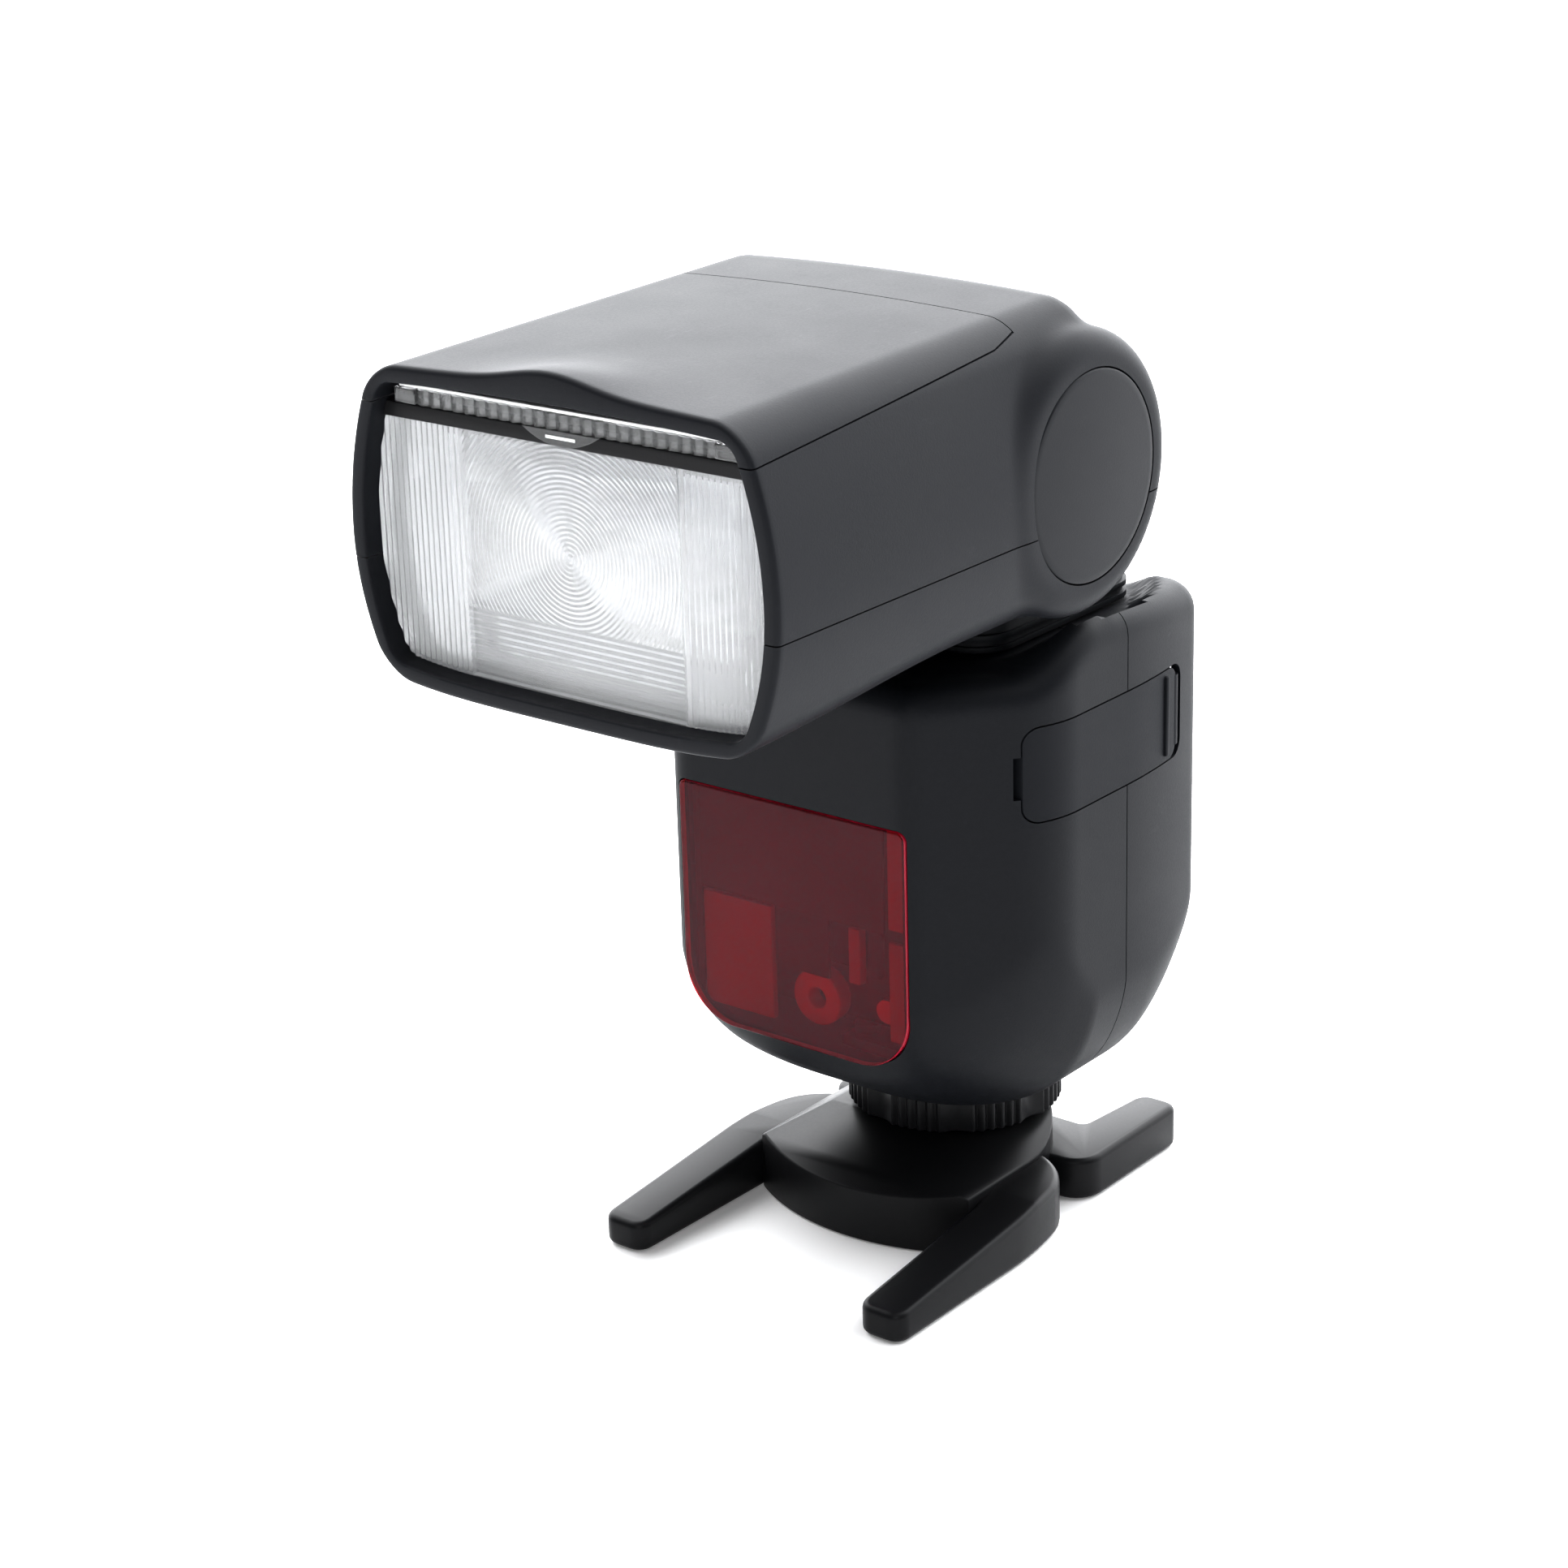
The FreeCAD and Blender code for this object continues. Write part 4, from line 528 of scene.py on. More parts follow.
def tinted(name, tint, color, roughness, cover):
    """Dark tinted plate: light passes through it coloured, under a glossy moulded surface."""
    finish = Finish(name, color, roughness)
    flow = finish.noise(70, 2, 0.5)
    finish.set("Base Color", finish.mix(flow, shade(color, 0.7), shade(color, 1.3)))
    finish.set("Roughness", roughness + flow * 0.05)
    finish.bump(flow, 0.04, 0.0001)
    nodes = finish.material.node_tree.nodes
    through = nodes.new("ShaderNodeBsdfTransparent")
    through.inputs["Color"].default_value = (*tint, 1)
    both = nodes.new("ShaderNodeMixShader")
    both.inputs["Fac"].default_value = cover
    finish.links.new(through.outputs[0], both.inputs[1])
    finish.links.new(finish.shader.outputs[0], both.inputs[2])
    finish.links.new(both.outputs[0], nodes["Material Output"].inputs["Surface"])
    return finish.material


def lens_plastic_with_painted_glow(name, color, roughness, transmission):
    """Clear lens in front of a bright reflector: milky, with a painted glow, an emission brightest in
    the middle that stands in for light sent back by the reflector.
    """
    finish = Finish(name, color, roughness, transmission_weight=transmission, ior=1.49,
                    emission_strength=0.1)
    x = finish.part_of_place("X") - 0.004
    z = finish.part_of_place("Z") - 0.119
    away = x.maths("POWER", x * 32, 2.0) + z.maths("POWER", z * 52, 2.0)
    flow = finish.noise(60, 3, 0.6)
    painted_glow = finish.ramp(away + flow * 0.5, 1.5, 0.1)
    # Painted glow: emission colour runs from dim grey at the rim to white in the middle, in place of
    # light from the reflector.
    finish.set("Emission Color", finish.mix(painted_glow, (0.1, 0.1, 0.11, 1), (1, 1, 1, 1)))
    finish.set("Roughness", roughness + flow * 0.05)
    finish.bump(flow, 0.05, 0.0001)
    return finish.material


def printed_board(name, color):
    """Circuit board: solder mask over a grid of tracks and pads."""
    finish = Finish(name, color, 0.35)
    tracks = finish.node("ShaderNodeTexBrick", {"offset": 0.5}, {
        "Vector": finish.place, "Scale": 260.0, "Mortar Size": 0.06,
        "Color1": shade(color, 0.8), "Color2": shade(color, 1.1),
        "Mortar": shade(color, 2.2)}, "Color")
    finish.set("Base Color", tracks)
    finish.set("Roughness", finish.noise(500) * 0.1 + 0.3)
    finish.bump(finish.noise(1500), 0.2, 0.00003)
    return finish.material


def display(name, color):
    """Liquid-crystal panel: grey-green field with a fine cell grid."""
    finish = Finish(name, color, 0.3)
    cells = finish.node("ShaderNodeTexChecker", {}, {"Vector": finish.place, "Scale": 2400.0},
                        "Fac")
    cloud = finish.noise(70, 2)
    finish.set("Base Color", finish.mix(cells * 0.3 + cloud * 0.5, shade(color, 0.85),
                                        shade(color, 1.1)))
    finish.set("Roughness", cloud * 0.08 + 0.26)
    return finish.material


def paper_card(name, color):
    """White bounce card: matt moulded sheet with a faint tooth."""
    finish = Finish(name, color, 0.6)
    tooth = finish.noise(1800, 3)
    finish.set("Base Color", finish.mix(tooth, shade(color, 0.95), shade(color, 1.0)))
    finish.set("Roughness", tooth * 0.1 + 0.52)
    finish.bump(tooth, 0.2, 0.00003)
    return finish.material


def knurled(name, color, roughness, count):
    """Dial plastic with radial serrations round an axis along Y at the dial's centre."""
    finish = Finish(name, color, roughness)
    low, high = node_box("select_dial")
    x = finish.part_of_place("X") - (low[0] + high[0]) / 2 * MM
    z = finish.part_of_place("Z") - (low[2] + high[2]) / 2 * MM
    turn = x.maths("ARCTAN2", z, x)
    ribs = turn.maths("SINE", turn * count)
    grain = finish.noise(3000, 2)
    finish.set("Roughness", grain * 0.15 + (roughness - 0.07))
    finish.set("Base Color", finish.mix(grain, shade(color, 0.8), shade(color, 1.25)))
    finish.bump(ribs * 0.5 + grain * 0.2, 0.6, 0.0002)
    return finish.material


FINISHES = {}


def make_finishes(colors):
    body, head, stand = colors.body, colors.head, colors.stand
    FINISHES.update({
        "body_plastic": moulded("sandblasted_body_plastic", body, 0.5),
        "head_plastic": moulded("sandblasted_head_plastic", head, 0.5),
        "cap_plastic": moulded("fine_grained_cap_plastic", shade(head, 0.92)[:3], 0.42,
                               grain=0.0003, depth=0.00002),
        "port_rubber": moulded("port_cover_rubber", shade(body, 1.12)[:3], 0.56, grain=0.0004),
        "stand_plastic": moulded("satin_stand_plastic", stand, 0.36, grain=0.0005,
                                 depth=0.00001, strength=0.3),
        "ring_plastic": moulded("ring_plastic", shade(stand, 1.1)[:3], 0.34, grain=0.0004,
                                depth=0.000015),
        "inner_plastic": moulded("dark_inner_plastic", (0.018, 0.018, 0.019), 0.45),
        "contact_plastic": moulded("contact_block_plastic", (0.03, 0.03, 0.03), 0.4),
        "latch_plastic": moulded("latch_plastic", (0.045, 0.045, 0.048), 0.4),
        "key_rubber": moulded("soft_key_rubber", (0.055, 0.056, 0.06), 0.6, grain=0.0005),
        "bezel_plastic": moulded("bezel_plastic", (0.012, 0.012, 0.013), 0.4),
        "dial_plastic": knurled("knurled_dial_plastic", (0.03, 0.03, 0.031), 0.45, 72),
        "capacitor_sleeve": moulded("capacitor_sleeve", (0.03, 0.03, 0.05), 0.25,
                                    grain=0.001, depth=0.00001),
        "test_key": moulded("lamp_key", (0.4, 0.03, 0.02), 0.35, grain=0.001),
        "sensor_dark": moulded("sensor_window", (0.02, 0.012, 0.018), 0.12, grain=0.002,
                               depth=0.000004),
        "lamp_block": moulded("pale_lamp_block", (0.36, 0.36, 0.37), 0.4),
        "lamp_lens": moulded("lamp_lens_ring", (0.62, 0.05, 0.09), 0.2, grain=0.001,
                             depth=0.00001),
        "brass": metal("turned_brass", (0.72, 0.52, 0.22), 0.28),
        "plated_steel": metal("nickel_plated_steel", (0.6, 0.6, 0.61), 0.3),
        "screw_steel": metal("zinc_plated_steel", (0.5, 0.5, 0.51), 0.32),
        "gold_contact": metal("gold_contact", (0.9, 0.68, 0.3), 0.22),
        "jack_metal": metal("plated_socket", (0.7, 0.7, 0.7), 0.2),
        "motor_can": metal("motor_can", (0.55, 0.55, 0.56), 0.3),
        "reflector_metal": metal("bright_reflector", (0.9, 0.91, 0.93), 0.22,
                                 direction=(20, 3000, 20)),
        "circuit_board": printed_board("circuit_board", (0.03, 0.16, 0.07)),
        "lcd_panel": display("display_panel", (0.3, 0.33, 0.28)),
        "white_card": paper_card("white_bounce_card", (0.86, 0.86, 0.85)),
        "red_clear_plastic": tinted("clear_dark_red_plastic", colors.window,
                                    (0.085, 0.014, 0.026), 0.08, 0.34),
        # A brighter copy of the red plastic for the window's rim: painted highlight.
        "red_edge": tinted("red_edge_painted_highlight", (0.9, 0.08, 0.12), colors.window_edge_highlight, 0.2, 0.6),
        "clear_lens": lens_plastic_with_painted_glow("clear_ribbed_lens_painted_glow", colors.lens, 0.1, 0.75),
        "clear_panel": clear("clear_wide_panel", shade(colors.lens, 0.55)[:3], 0.05, 0.92),
        "screen_cover": clear("clear_screen_cover", (0.86, 0.88, 0.88), 0.02, 1.0),
        "tube_glass": clear("flash_tube_glass", (0.96, 0.96, 0.94), 0.03, 1.0),
    })
    for node in NODES.values():
        for slot in node.material_slots:
            slot.material = FINISHES[slot.material.name.split(".")[0]]


# ---------------------------------------------------------------- shells of body and head

def carried(node):
    """A merged copy of a CAD node, in millimetres, ready to be shaped further."""
    piece = copied(NODES[node], node + "_piece")
    piece.parent = None
    piece.matrix_world = Matrix.Scale(1 / MM, 4)
    only(piece)
    bpy.ops.object.transform_apply(location=True, rotation=True, scale=True)
    edit(piece, "VERT")
    bpy.ops.mesh.select_all(action="SELECT")
    bpy.ops.mesh.remove_doubles(threshold=0.002)
    bpy.ops.mesh.dissolve_limited(angle_limit=math.radians(0.2))
    leave()
    return piece


def softened(node, body, width, segments):
    """A CAD node's shape with rounded edges, standing for the node."""
    material = NODES[node].material_slots[0].material
    piece = soften(carried(node), width, segments)
    piece.name = node + "_rounded"
    return done(piece, body, material, [node])


# ---------------------------------------------------------------- lower body

FUNCTION_KEYS = [f"function_button_{number}" for number in (1, 2, 3, 4)]
ROUND_KEYS = ["mode_button", "wireless_button", "test_button"]
CLEARANCE = 0.12
PORT_FRONT = -27.8
PORT_Z = [corner[2] for corner in node_box("port_cover")]
HINGE_X, HINGE_Y = (value / MM for value in JOINTS["port_cover_open"]["pos_m"][:2])
BARREL_RADIUS = 1.5
BACK_INSIDE = 15


def port_zone(name, grow, rear):
    """Room of the port cover, in the left side wall."""
    outline = rectangle((PORT_FRONT - grow, PORT_Z[0] - grow), (rear, PORT_Z[1] + grow))
    return rounded_prism(name, "x", outline, 28, 40, (2.5 + grow, range(4)))


def battery_zone(name, grow):
    """Room of the battery's cap, in the right side wall."""
    low, high = node_box("battery_pack")
    outline = rectangle(low[1:] - grow, high[1:] + grow)
    return rounded_prism(name, "x", outline, -40, -30, (3 + grow, range(4)))


def window_zone(name, grow, span=(-48, -30)):
    """Room of the red window, in the nose: its lower corners are rounder than its upper ones."""
    low, high = node_box("red_window")
    outline = rectangle(low[::2] - grow, high[::2] + grow)
    return rounded_prism(name, "y", outline, *span, (9.5 + grow, (0, 1)),
                         (1.5 + grow, (2, 3)), segments=16)


def make_port_cover(skin):
    """Port cover: a leaf of the body's skin with a finger ridge and a hinge barrel."""
    leaf = copied(skin, "port_leaf")
    carve(leaf, port_zone("leaf_zone", -CLEARANCE, HINGE_Y + 0.05), "INTERSECT")
    ridge = add_box("finger_ridge", (34.4, 6.0, PORT_Z[0] + 1), (35.85, 6.9, PORT_Z[1] - 1))
    carve(leaf, soften(ridge, 0.3), "UNION")
    barrel = add_drum("hinge_barrel", "z", BARREL_RADIUS, PORT_Z[0] + 1.8, PORT_Z[1] - 1.8,
                      (HINGE_X, HINGE_Y, 0), 48)
    carve(leaf, barrel, "UNION")
    done(leaf, "port_cover", FINISHES["port_rubber"], ["port_cover"])


def make_battery_cap(skin):
    """Battery: a leaf of the body's skin with grip lines, in front of the battery's block."""
    cap = copied(skin, "battery_cap")
    carve(cap, battery_zone("cap_zone", -0.2), "INTERSECT")
    carve(cap, add_box("latch_room", (-40, -8.4, 75.6), (-33, 4.4, 82.4)))
    for line in range(4):
        z = 50 + line * 1.6
        carve(cap, add_box("cap_grip", (-36.8, -9, z), (-35.5, 6, z + 0.7)))
    cells = carried("battery_pack")
    carve(cells, add_box("cap_side", (-40, -20, 40), (-33.4, 20, 90)))
    soften(cells, 0.3)
    joined("battery_cap", [cap, cells])
    done(cap, "battery", FINISHES["body_plastic"], ["battery_pack"])


def make_red_window():
    """Red window: a plate with rounded edges, whose rim faces get a brighter copy of the red plastic
    as a painted highlight.
    """
    low, high = node_box("red_window")
    glass = soften(window_zone("red_window_rounded", -0.06, (low[1], high[1])), 0.5, 4, 40)
    done(glass, "control_unit", FINISHES["red_clear_plastic"],
         ["red_window"])
    # Faces that don't face along Y take the brighter copy: painted highlight on the rim.
    glass.data.materials.append(FINISHES["red_edge"])
    for face in glass.data.polygons:
        face.material_index = int(abs(face.normal.y) < 0.8)


def back_hole(shell, node, margin):
    """Cuts a hole through the back wall for a node, with a margin round it."""
    low, high = node_box(node)
    carve(shell, add_box("hole", (low[0] - margin, BACK_INSIDE, low[2] - margin),
                         (high[0] + margin, 30, high[2] + margin)))


def cut_openings(shell):
    """Openings of the body: port, battery, window, back panel, turret and foot."""
    carve(shell, add_box("nail_slot", (28, PORT_FRONT - 1, 78.5), (40, PORT_FRONT + 0.2, 85)))
    carve(shell, port_zone("port_hole", CLEARANCE, HINGE_Y + BARREL_RADIUS + 0.25))
    carve(shell, battery_zone("battery_hole", CLEARANCE))
    carve(shell, window_zone("window_hole", CLEARANCE))
    back_hole(shell, "lcd_window", 0.15)
    for key in ROUND_KEYS:
        middle = sum(node_box(key)) / 2
        carve(shell, add_drum("key_hole", "y", 3.2, BACK_INSIDE, 30, middle, 48))
    for key in FUNCTION_KEYS:
        back_hole(shell, key, -0.5)
    middle = sum(node_box("select_dial")) / 2
    carve(shell, add_drum("dial_hole", "y", 9.7, 21.2, 30, middle, 96))
    carve(shell, add_drum("dial_bore", "y", 6, 10, 30, middle, 64))
    low, high = node_box("power_switch")
    carve(shell, add_box("switch_slot", (low[0] + 0.4, BACK_INSIDE, low[2] + 0.5),
                         (high[0] + 2.2, 30, high[2] - 0.5)))
    carve(shell, add_drum("turret_bore", "z", 17.15, 90, 110, (0, SWIVEL_Y, 0), 128))
    carve(shell, add_drum("foot_bore", "z", 9.15, 10, 30, (0, 0, 0), 96))


def make_body(sizes):
    """Front and rear covers, and the pieces that are cut from the same skin."""
    shell = grown_form("body_skin", body_form, (-40, -45, 15), (40, 26, 108), (0, -8, 60),
                       sizes.skin_cuts)
    apply_modifier(shell, "SOLIDIFY", thickness=sizes.body_wall / MM, offset=-1, use_rim=True)
    make_port_cover(shell)
    make_battery_cap(shell)
    make_red_window()
    cut_openings(shell)
    half = sizes.seam_gap / MM / 2
    front_room = add_box("front_room", (-60, -60, 0), (60, BODY_SEAM - half, 120))
    rear_room = add_box("rear_room", (-60, BODY_SEAM + half, 0), (60, 60, 120))
    rear = copied(shell, "body_rear_skin")
    carve(rear, rear_room, "INTERSECT")
    shell.name = "body_front_skin"
    carve(shell, front_room, "INTERSECT")
    for piece, node in ((shell, "body_front_cover"), (rear, "body_rear_cover")):
        done(piece, "control_unit", FINISHES["body_plastic"], [node])


def make_lamp_room():
    """Blocks behind the red window: a dark upper part, pale blocks and rails below it."""
    shades = [((-20, -38.75, 57), (15.6, -38.1, 77.5)), ((-5.4, -38, 47), (4.6, -37.4, 56.9))]
    blocks = [((-19.6, -38.4, 38), (-6, -37.2, 56.5)), ((8.4, -38.2, 47.5), (10.6, -36.5, 56.5)),
              ((16.2, -38.6, 40), (19.4, -37.6, 56)), ((16.2, -38.6, 58), (19.4, -37.6, 74))]
    for name, boxes, finish in (("lamp_shades", shades, "inner_plastic"),
                                ("lamp_blocks", blocks, "lamp_block")):
        made = [soften(add_box(name, *corners), 0.3, 2) for corners in boxes]
        done(joined(name, made), "control_unit", FINISHES[finish])


# ---------------------------------------------------------------- head

def head_rays(across, upright):
    return ring_rays(38, 101 - PIVOT_Z, 148.5 - PIVOT_Z, across, upright)


def head_stations(wall):
    """Along the outside from the rear to the rim, round the rim and back along the inside."""
    thin = 1.7
    ears = PIVOT_Y + EAR_RADIUS * np.cos(np.linspace(0.06, math.pi / 2, 26))
    outside = [*ears, *np.arange(PIVOT_Y - 0.8, -39, -0.8), *np.arange(-40, -75, -1.75),
               *np.arange(-75.6, HEAD_FRONT + 1.2, -0.8)]
    stations = [(head_form, y, 0) for y in outside]
    for angle in np.radians((0, 22.5, 45, 67.5, 90)):
        stations.append((head_form, HEAD_FRONT + 0.8 * (1 - math.sin(angle)),
                         0.8 * (1 - math.cos(angle))))
    for angle in np.radians((0, 30, 60, 90)):
        stations.append((inner_head_form, HEAD_FRONT + 0.4 * (1 - math.cos(angle)),
                         wall - 0.4 * (1 - math.sin(angle))))
    stations += [(inner_head_form, y, wall) for y in np.arange(HEAD_FRONT + 1.5, -78, 2.5)]
    ends = PIVOT_Y + (EAR_RADIUS - thin) * np.cos(np.linspace(math.pi / 2, 0.12, 14))
    stations += [(inner_head_form, y, thin)
                 for y in (*np.arange(-77, -40, 2.5), *np.arange(-40, PIVOT_Y, 1.5), *ends)]
    return stations


def cover_prism(name, drop, setback):
    """Room of the top cover: its side line rises from the front and then runs level."""
    rear = node_box("head_top_cover")[1][1] + setback
    outline = [(HEAD_FRONT - 5, 141.7 - drop), (-33.5, 146 - drop), (rear, 147.2 - drop),
               (rear, 160), (HEAD_FRONT - 5, 160)]
    return prism(name, "x", outline, -50, 50)


def sideways(way, inner, outer):
    """Lowest and highest X of a stretch on one side."""
    return sorted((way * inner, way * outer))


def fit_to_turret(shell):
    """Cheeks, ears, throat and bores that fit the head round the turret's knuckle."""
    centre = (0, PIVOT_Y, PIVOT_Z)
    for way in (-1, 1):
        low, high = sideways(way, THROAT_HALF, 30.5)
        carve(shell, add_box("ear_block", (low, -41, 105.8), (high, PIVOT_Y, 125)), "UNION")
        low, high = sideways(way, THROAT_HALF, 35.9)
        carve(shell, add_drum("ear_drum", "x", 19.7, low, high, centre, 96), "UNION")
    carve(shell, add_box("baffle", (-31, -41.6, 106.6), (31, -40.6, 146.8)), "UNION")
    carve(shell, add_box("throat", (-THROAT_HALF, -40, 90), (THROAT_HALF, 20, PIVOT_Z)))
    carve(shell, add_box("rear_door", (-THROAT_HALF, PIVOT_Y, 90), (THROAT_HALF, 20, 145.6)))
    carve(shell, add_drum("knuckle_room", "x", 20.7, -THROAT_HALF, THROAT_HALF, centre, 128))
    for way in (-1, 1):
        low, high = sideways(way, 35.7, 45)
        carve(shell, add_drum("cap_seat", "x", CAP_RADIUS + 0.15, low, high, centre, 128))
        low, high = sideways(way, 25, 45)
        carve(shell, add_drum("axle_bore", "x", 5.1, low, high, centre, 64))


def make_head(sizes):
    """Upper and lower housings and the top cover, all cut from one skin."""
    shell = wrapped_form("head_skin", head_stations(sizes.rim_wall / MM), PIVOT_Z,
                         head_rays(90, 60))
    fit_to_turret(shell)
    gap = sizes.seam_gap / MM
    half = gap / 2
    cover = copied(shell, "head_cover_skin")
    carve(cover, cover_prism("cover_room", 0, 0), "INTERSECT")
    carve(shell, cover_prism("cover_gap", gap, gap))
    upper_room = add_box("upper_room", (-60, -120, HEAD_SEAM + half), (60, 30, 180))
    lower_room = add_box("lower_room", (-60, -120, 80), (60, 30, HEAD_SEAM - half))
    upper = copied(shell, "head_upper_skin")
    carve(upper, upper_room, "INTERSECT")
    lower = shell
    lower.name = "head_lower_skin"
    carve(lower, lower_room, "INTERSECT")
    for piece, node in ((cover, "head_top_cover"), (upper, "head_upper_housing"),
                        (lower, "head_lower_housing")):
        done(piece, "head", FINISHES["head_plastic"], [node])


def make_tilt_caps():
    """Round caps over the tilt axle, slightly domed."""
    for way, side in ((1, "left"), (-1, "right")):
        node = "tilt_cap_" + side
        low, high = node_box(node)
        cap = add_drum(node + "_disc", "x", CAP_RADIUS, low[0], high[0],
                       (0, PIVOT_Y, PIVOT_Z), 128)
        face = 38.1 * way
        choose_faces(cap, lambda c, n: n.x * way > 0.9)
        bpy.ops.mesh.inset(thickness=1.2)
        bpy.ops.mesh.inset(thickness=6)
        bpy.ops.mesh.inset(thickness=5)
        leave()
        points = coordinates(cap)
        outer = np.abs(points[:, 0] - face) < 1e-3
        away = np.hypot(points[:, 1] - PIVOT_Y, points[:, 2] - PIVOT_Z)
        points[outer, 0] -= way * 0.55 * (away[outer] / CAP_RADIUS) ** 2
        set_coordinates(cap, points)
        soften(cap, 0.35, 3, 40)
        done(cap, "head", FINISHES["cap_plastic"], [node])


# ---------------------------------------------------------------- optics

def comb(name, axis, start, pitch, count, back, crest, root, low, high, swap=False):
    """Block with a saw of small ridges on its front: the outline runs across, then along."""
    outline = []
    for tooth in range(count):
        left = start + tooth * pitch
        outline += [(left, root), (left + pitch / 2, crest)]
    outline += [(start + count * pitch, root), (start + count * pitch, back), (start, back)]
    if swap:
        outline = [(v, u) for u, v in outline]
    return prism(name, axis, outline, low, high)


def mouth(sizes, clearance):
    """Solid that fills the head's front opening, up to a clearance."""
    depth = sizes.rim_wall / MM + clearance
    stations = [(inner_head_form, y, depth) for y in (HEAD_FRONT + 0.1, -84, -78)]
    return wrapped_form("mouth", stations, PIVOT_Z, head_rays(60, 40))


def make_lens(sizes):
    """Front lens: rings in the middle, upright ribs at the sides, level ribs below."""
    low, high = node_box("fresnel_lens")
    crest = low[1] - 0.5
    back = crest + 1.6
    root = crest + sizes.rib_depth / MM
    pitch = sizes.rib_pitch / MM
    side_x = 18.9
    shelf_z = 114.2
    reach = 36.6
    side_count = round((reach - side_x) / pitch)
    pieces = []
    for start in (-reach, reach - side_count * pitch):
        pieces.append(comb("side_ribs", "z", start, pitch, side_count, back, crest, root,
                           101, high[2]))
    inner = reach - side_count * pitch - 0.02
    rows = 14
    pieces.append(comb("level_ribs", "x", 101, (shelf_z - 101) / rows, rows, back, crest,
                       root, -inner, inner, swap=True))
    root = crest + sizes.ring_depth / MM
    ring_pitch = sizes.ring_pitch / MM
    rings = int(math.hypot(inner, high[2] - 118) / ring_pitch) + 3
    centre = (0, 0, 124)
    profile = [(0, root)]
    for ring in range(rings):
        near, far = ring * ring_pitch, (ring + 1) * ring_pitch
        profile += [(near + ring_pitch * 0.5, crest), (far, root)]
    profile.append((rings * ring_pitch, back))
    profile.append((0, back))
    bpy.ops.mesh.primitive_circle_add(vertices=len(profile), radius=1)
    middle = named("ring_lens")
    set_coordinates(middle, [(r, y, centre[2]) for r, y in profile])
    edit(middle, "VERT")
    bpy.ops.mesh.select_all(action="SELECT")
    bpy.ops.mesh.spin(steps=120, angle=2 * math.pi, center=(0, 0, centre[2]), axis=(0, 1, 0))
    bpy.ops.mesh.select_all(action="SELECT")
    bpy.ops.mesh.remove_doubles(threshold=0.002)
    bpy.ops.mesh.normals_make_consistent(inside=False)
    leave()
    carve(middle, add_box("ring_room", (-inner + 0.01, crest - 1, shelf_z + 0.02),
                          (inner - 0.01, back + 1, high[2])), "INTERSECT")
    pieces.append(middle)
    room = mouth(sizes, 0.12)
    for piece in pieces:
        carve(piece, room, "INTERSECT", keep=True)
    bpy.data.objects.remove(room)
    lens = joined("fresnel_lens_ribbed", pieces)
    done(lens, "head", FINISHES["clear_lens"], ["fresnel_lens"], smooth=20)


def make_bezel(sizes):
    """Dark frame round the lens, with the strip between the lens and the wide panel."""
    low, high = node_box("fresnel_lens")
    bezel = soften(carried("lens_bezel"), 0.2)
    strip = soften(add_box("top_strip", (-37, low[1] - 0.9, high[2] + 0.05),
                           (37, high[1] - 0.02, 141.6)), 0.2)
    carve(strip, mouth(sizes, 0.1), "INTERSECT")
    joined("lens_bezel_framed", [bezel, strip])
    done(bezel, "head", FINISHES["bezel_plastic"], ["lens_bezel"])


def make_wide_panel():
    """Pull-out panel: flat plate, ribbed front lip between two plain ends, half-moon tab."""
    low, high = node_box("wide_panel")
    lip_back = low[1] + 1.2
    plate = add_box("wide_plate", (low[0], lip_back, 141.7), (high[0], high[1], 142.7))
    pitch = 2.1
    teeth = 25
    start = -teeth * pitch / 2
    pieces = [plate]
    pieces.append(comb("lip_ribs", "z", start, pitch, teeth, lip_back - 0.02, low[1] + 0.02,
                       low[1] + 0.5, 141.72, high[2] - 0.02))
    for way in (-1, 1):
        ends = sorted((way * (-start + 0.03), way * high[0]))
        pieces.append(soften(add_box("lip_end", (ends[0], low[1], 141.7),
                                     (ends[1], lip_back - 0.02, high[2])), 0.25))
    tab = add_drum("tab", "y", 12, low[1] + 0.1, lip_back - 0.1, (0, 0, low[2] + 12), 160)
    carve(tab, add_box("tab_room", (-9.2, -100, low[2]), (9.2, -80, 141.68)), "INTERSECT")
    pieces.append(soften(tab, 0.3, 2, 50))
    joined("wide_panel_ribbed", pieces)
    done(plate, "wide_panel", FINISHES["clear_panel"], ["wide_panel"], 20)
    dash = add_box("tab_dash", (-2.6, low[1], 140.5), (2.6, low[1] + 0.2, 140.95))
    soften(dash, 0.04)
    done(dash, "wide_panel", FINISHES["white_card"])


# ---------------------------------------------------------------- ring, stand and the rest

def make_ring():
    """Locking ring: groups of fine upright ribs between smooth finger scallops."""
    low, high = node_box("locking_ring")
    radius = (high[1] - low[1]) / 2
    groups = 8
    outline = []
    steps = 720
    for step in range(steps):
        angle = step / steps * 2 * math.pi
        share = (angle * groups / (2 * math.pi)) % 1
        if share < 0.62:
            ribs = 0.5 + 0.5 * math.cos(share / 0.62 * 2 * math.pi * 5)
            r = radius - 0.55 * (1 - ribs) ** 1.5
        else:
            r = radius - 0.9 * math.sin((share - 0.62) / 0.38 * math.pi)
        outline.append((r * math.cos(angle), r * math.sin(angle)))
    ring = prism("locking_ring_ribbed", "z", outline, low[2], high[2])
    choose_faces(ring, lambda c, n: abs(n.z) > 0.9)
    bpy.ops.mesh.bevel(offset=0.45, segments=3, affect="EDGES")
    leave()
    carve(ring, add_drum("ring_bore", "z", 9.6, 10, 30, (0, 0, 0), 96))
    carve(ring, add_drum("washer_room", "z", 12.2, 10, 14.35, (0, 0, 0), 96))
    done(ring, "locking_ring", FINISHES["ring_plastic"], ["locking_ring"], 25)


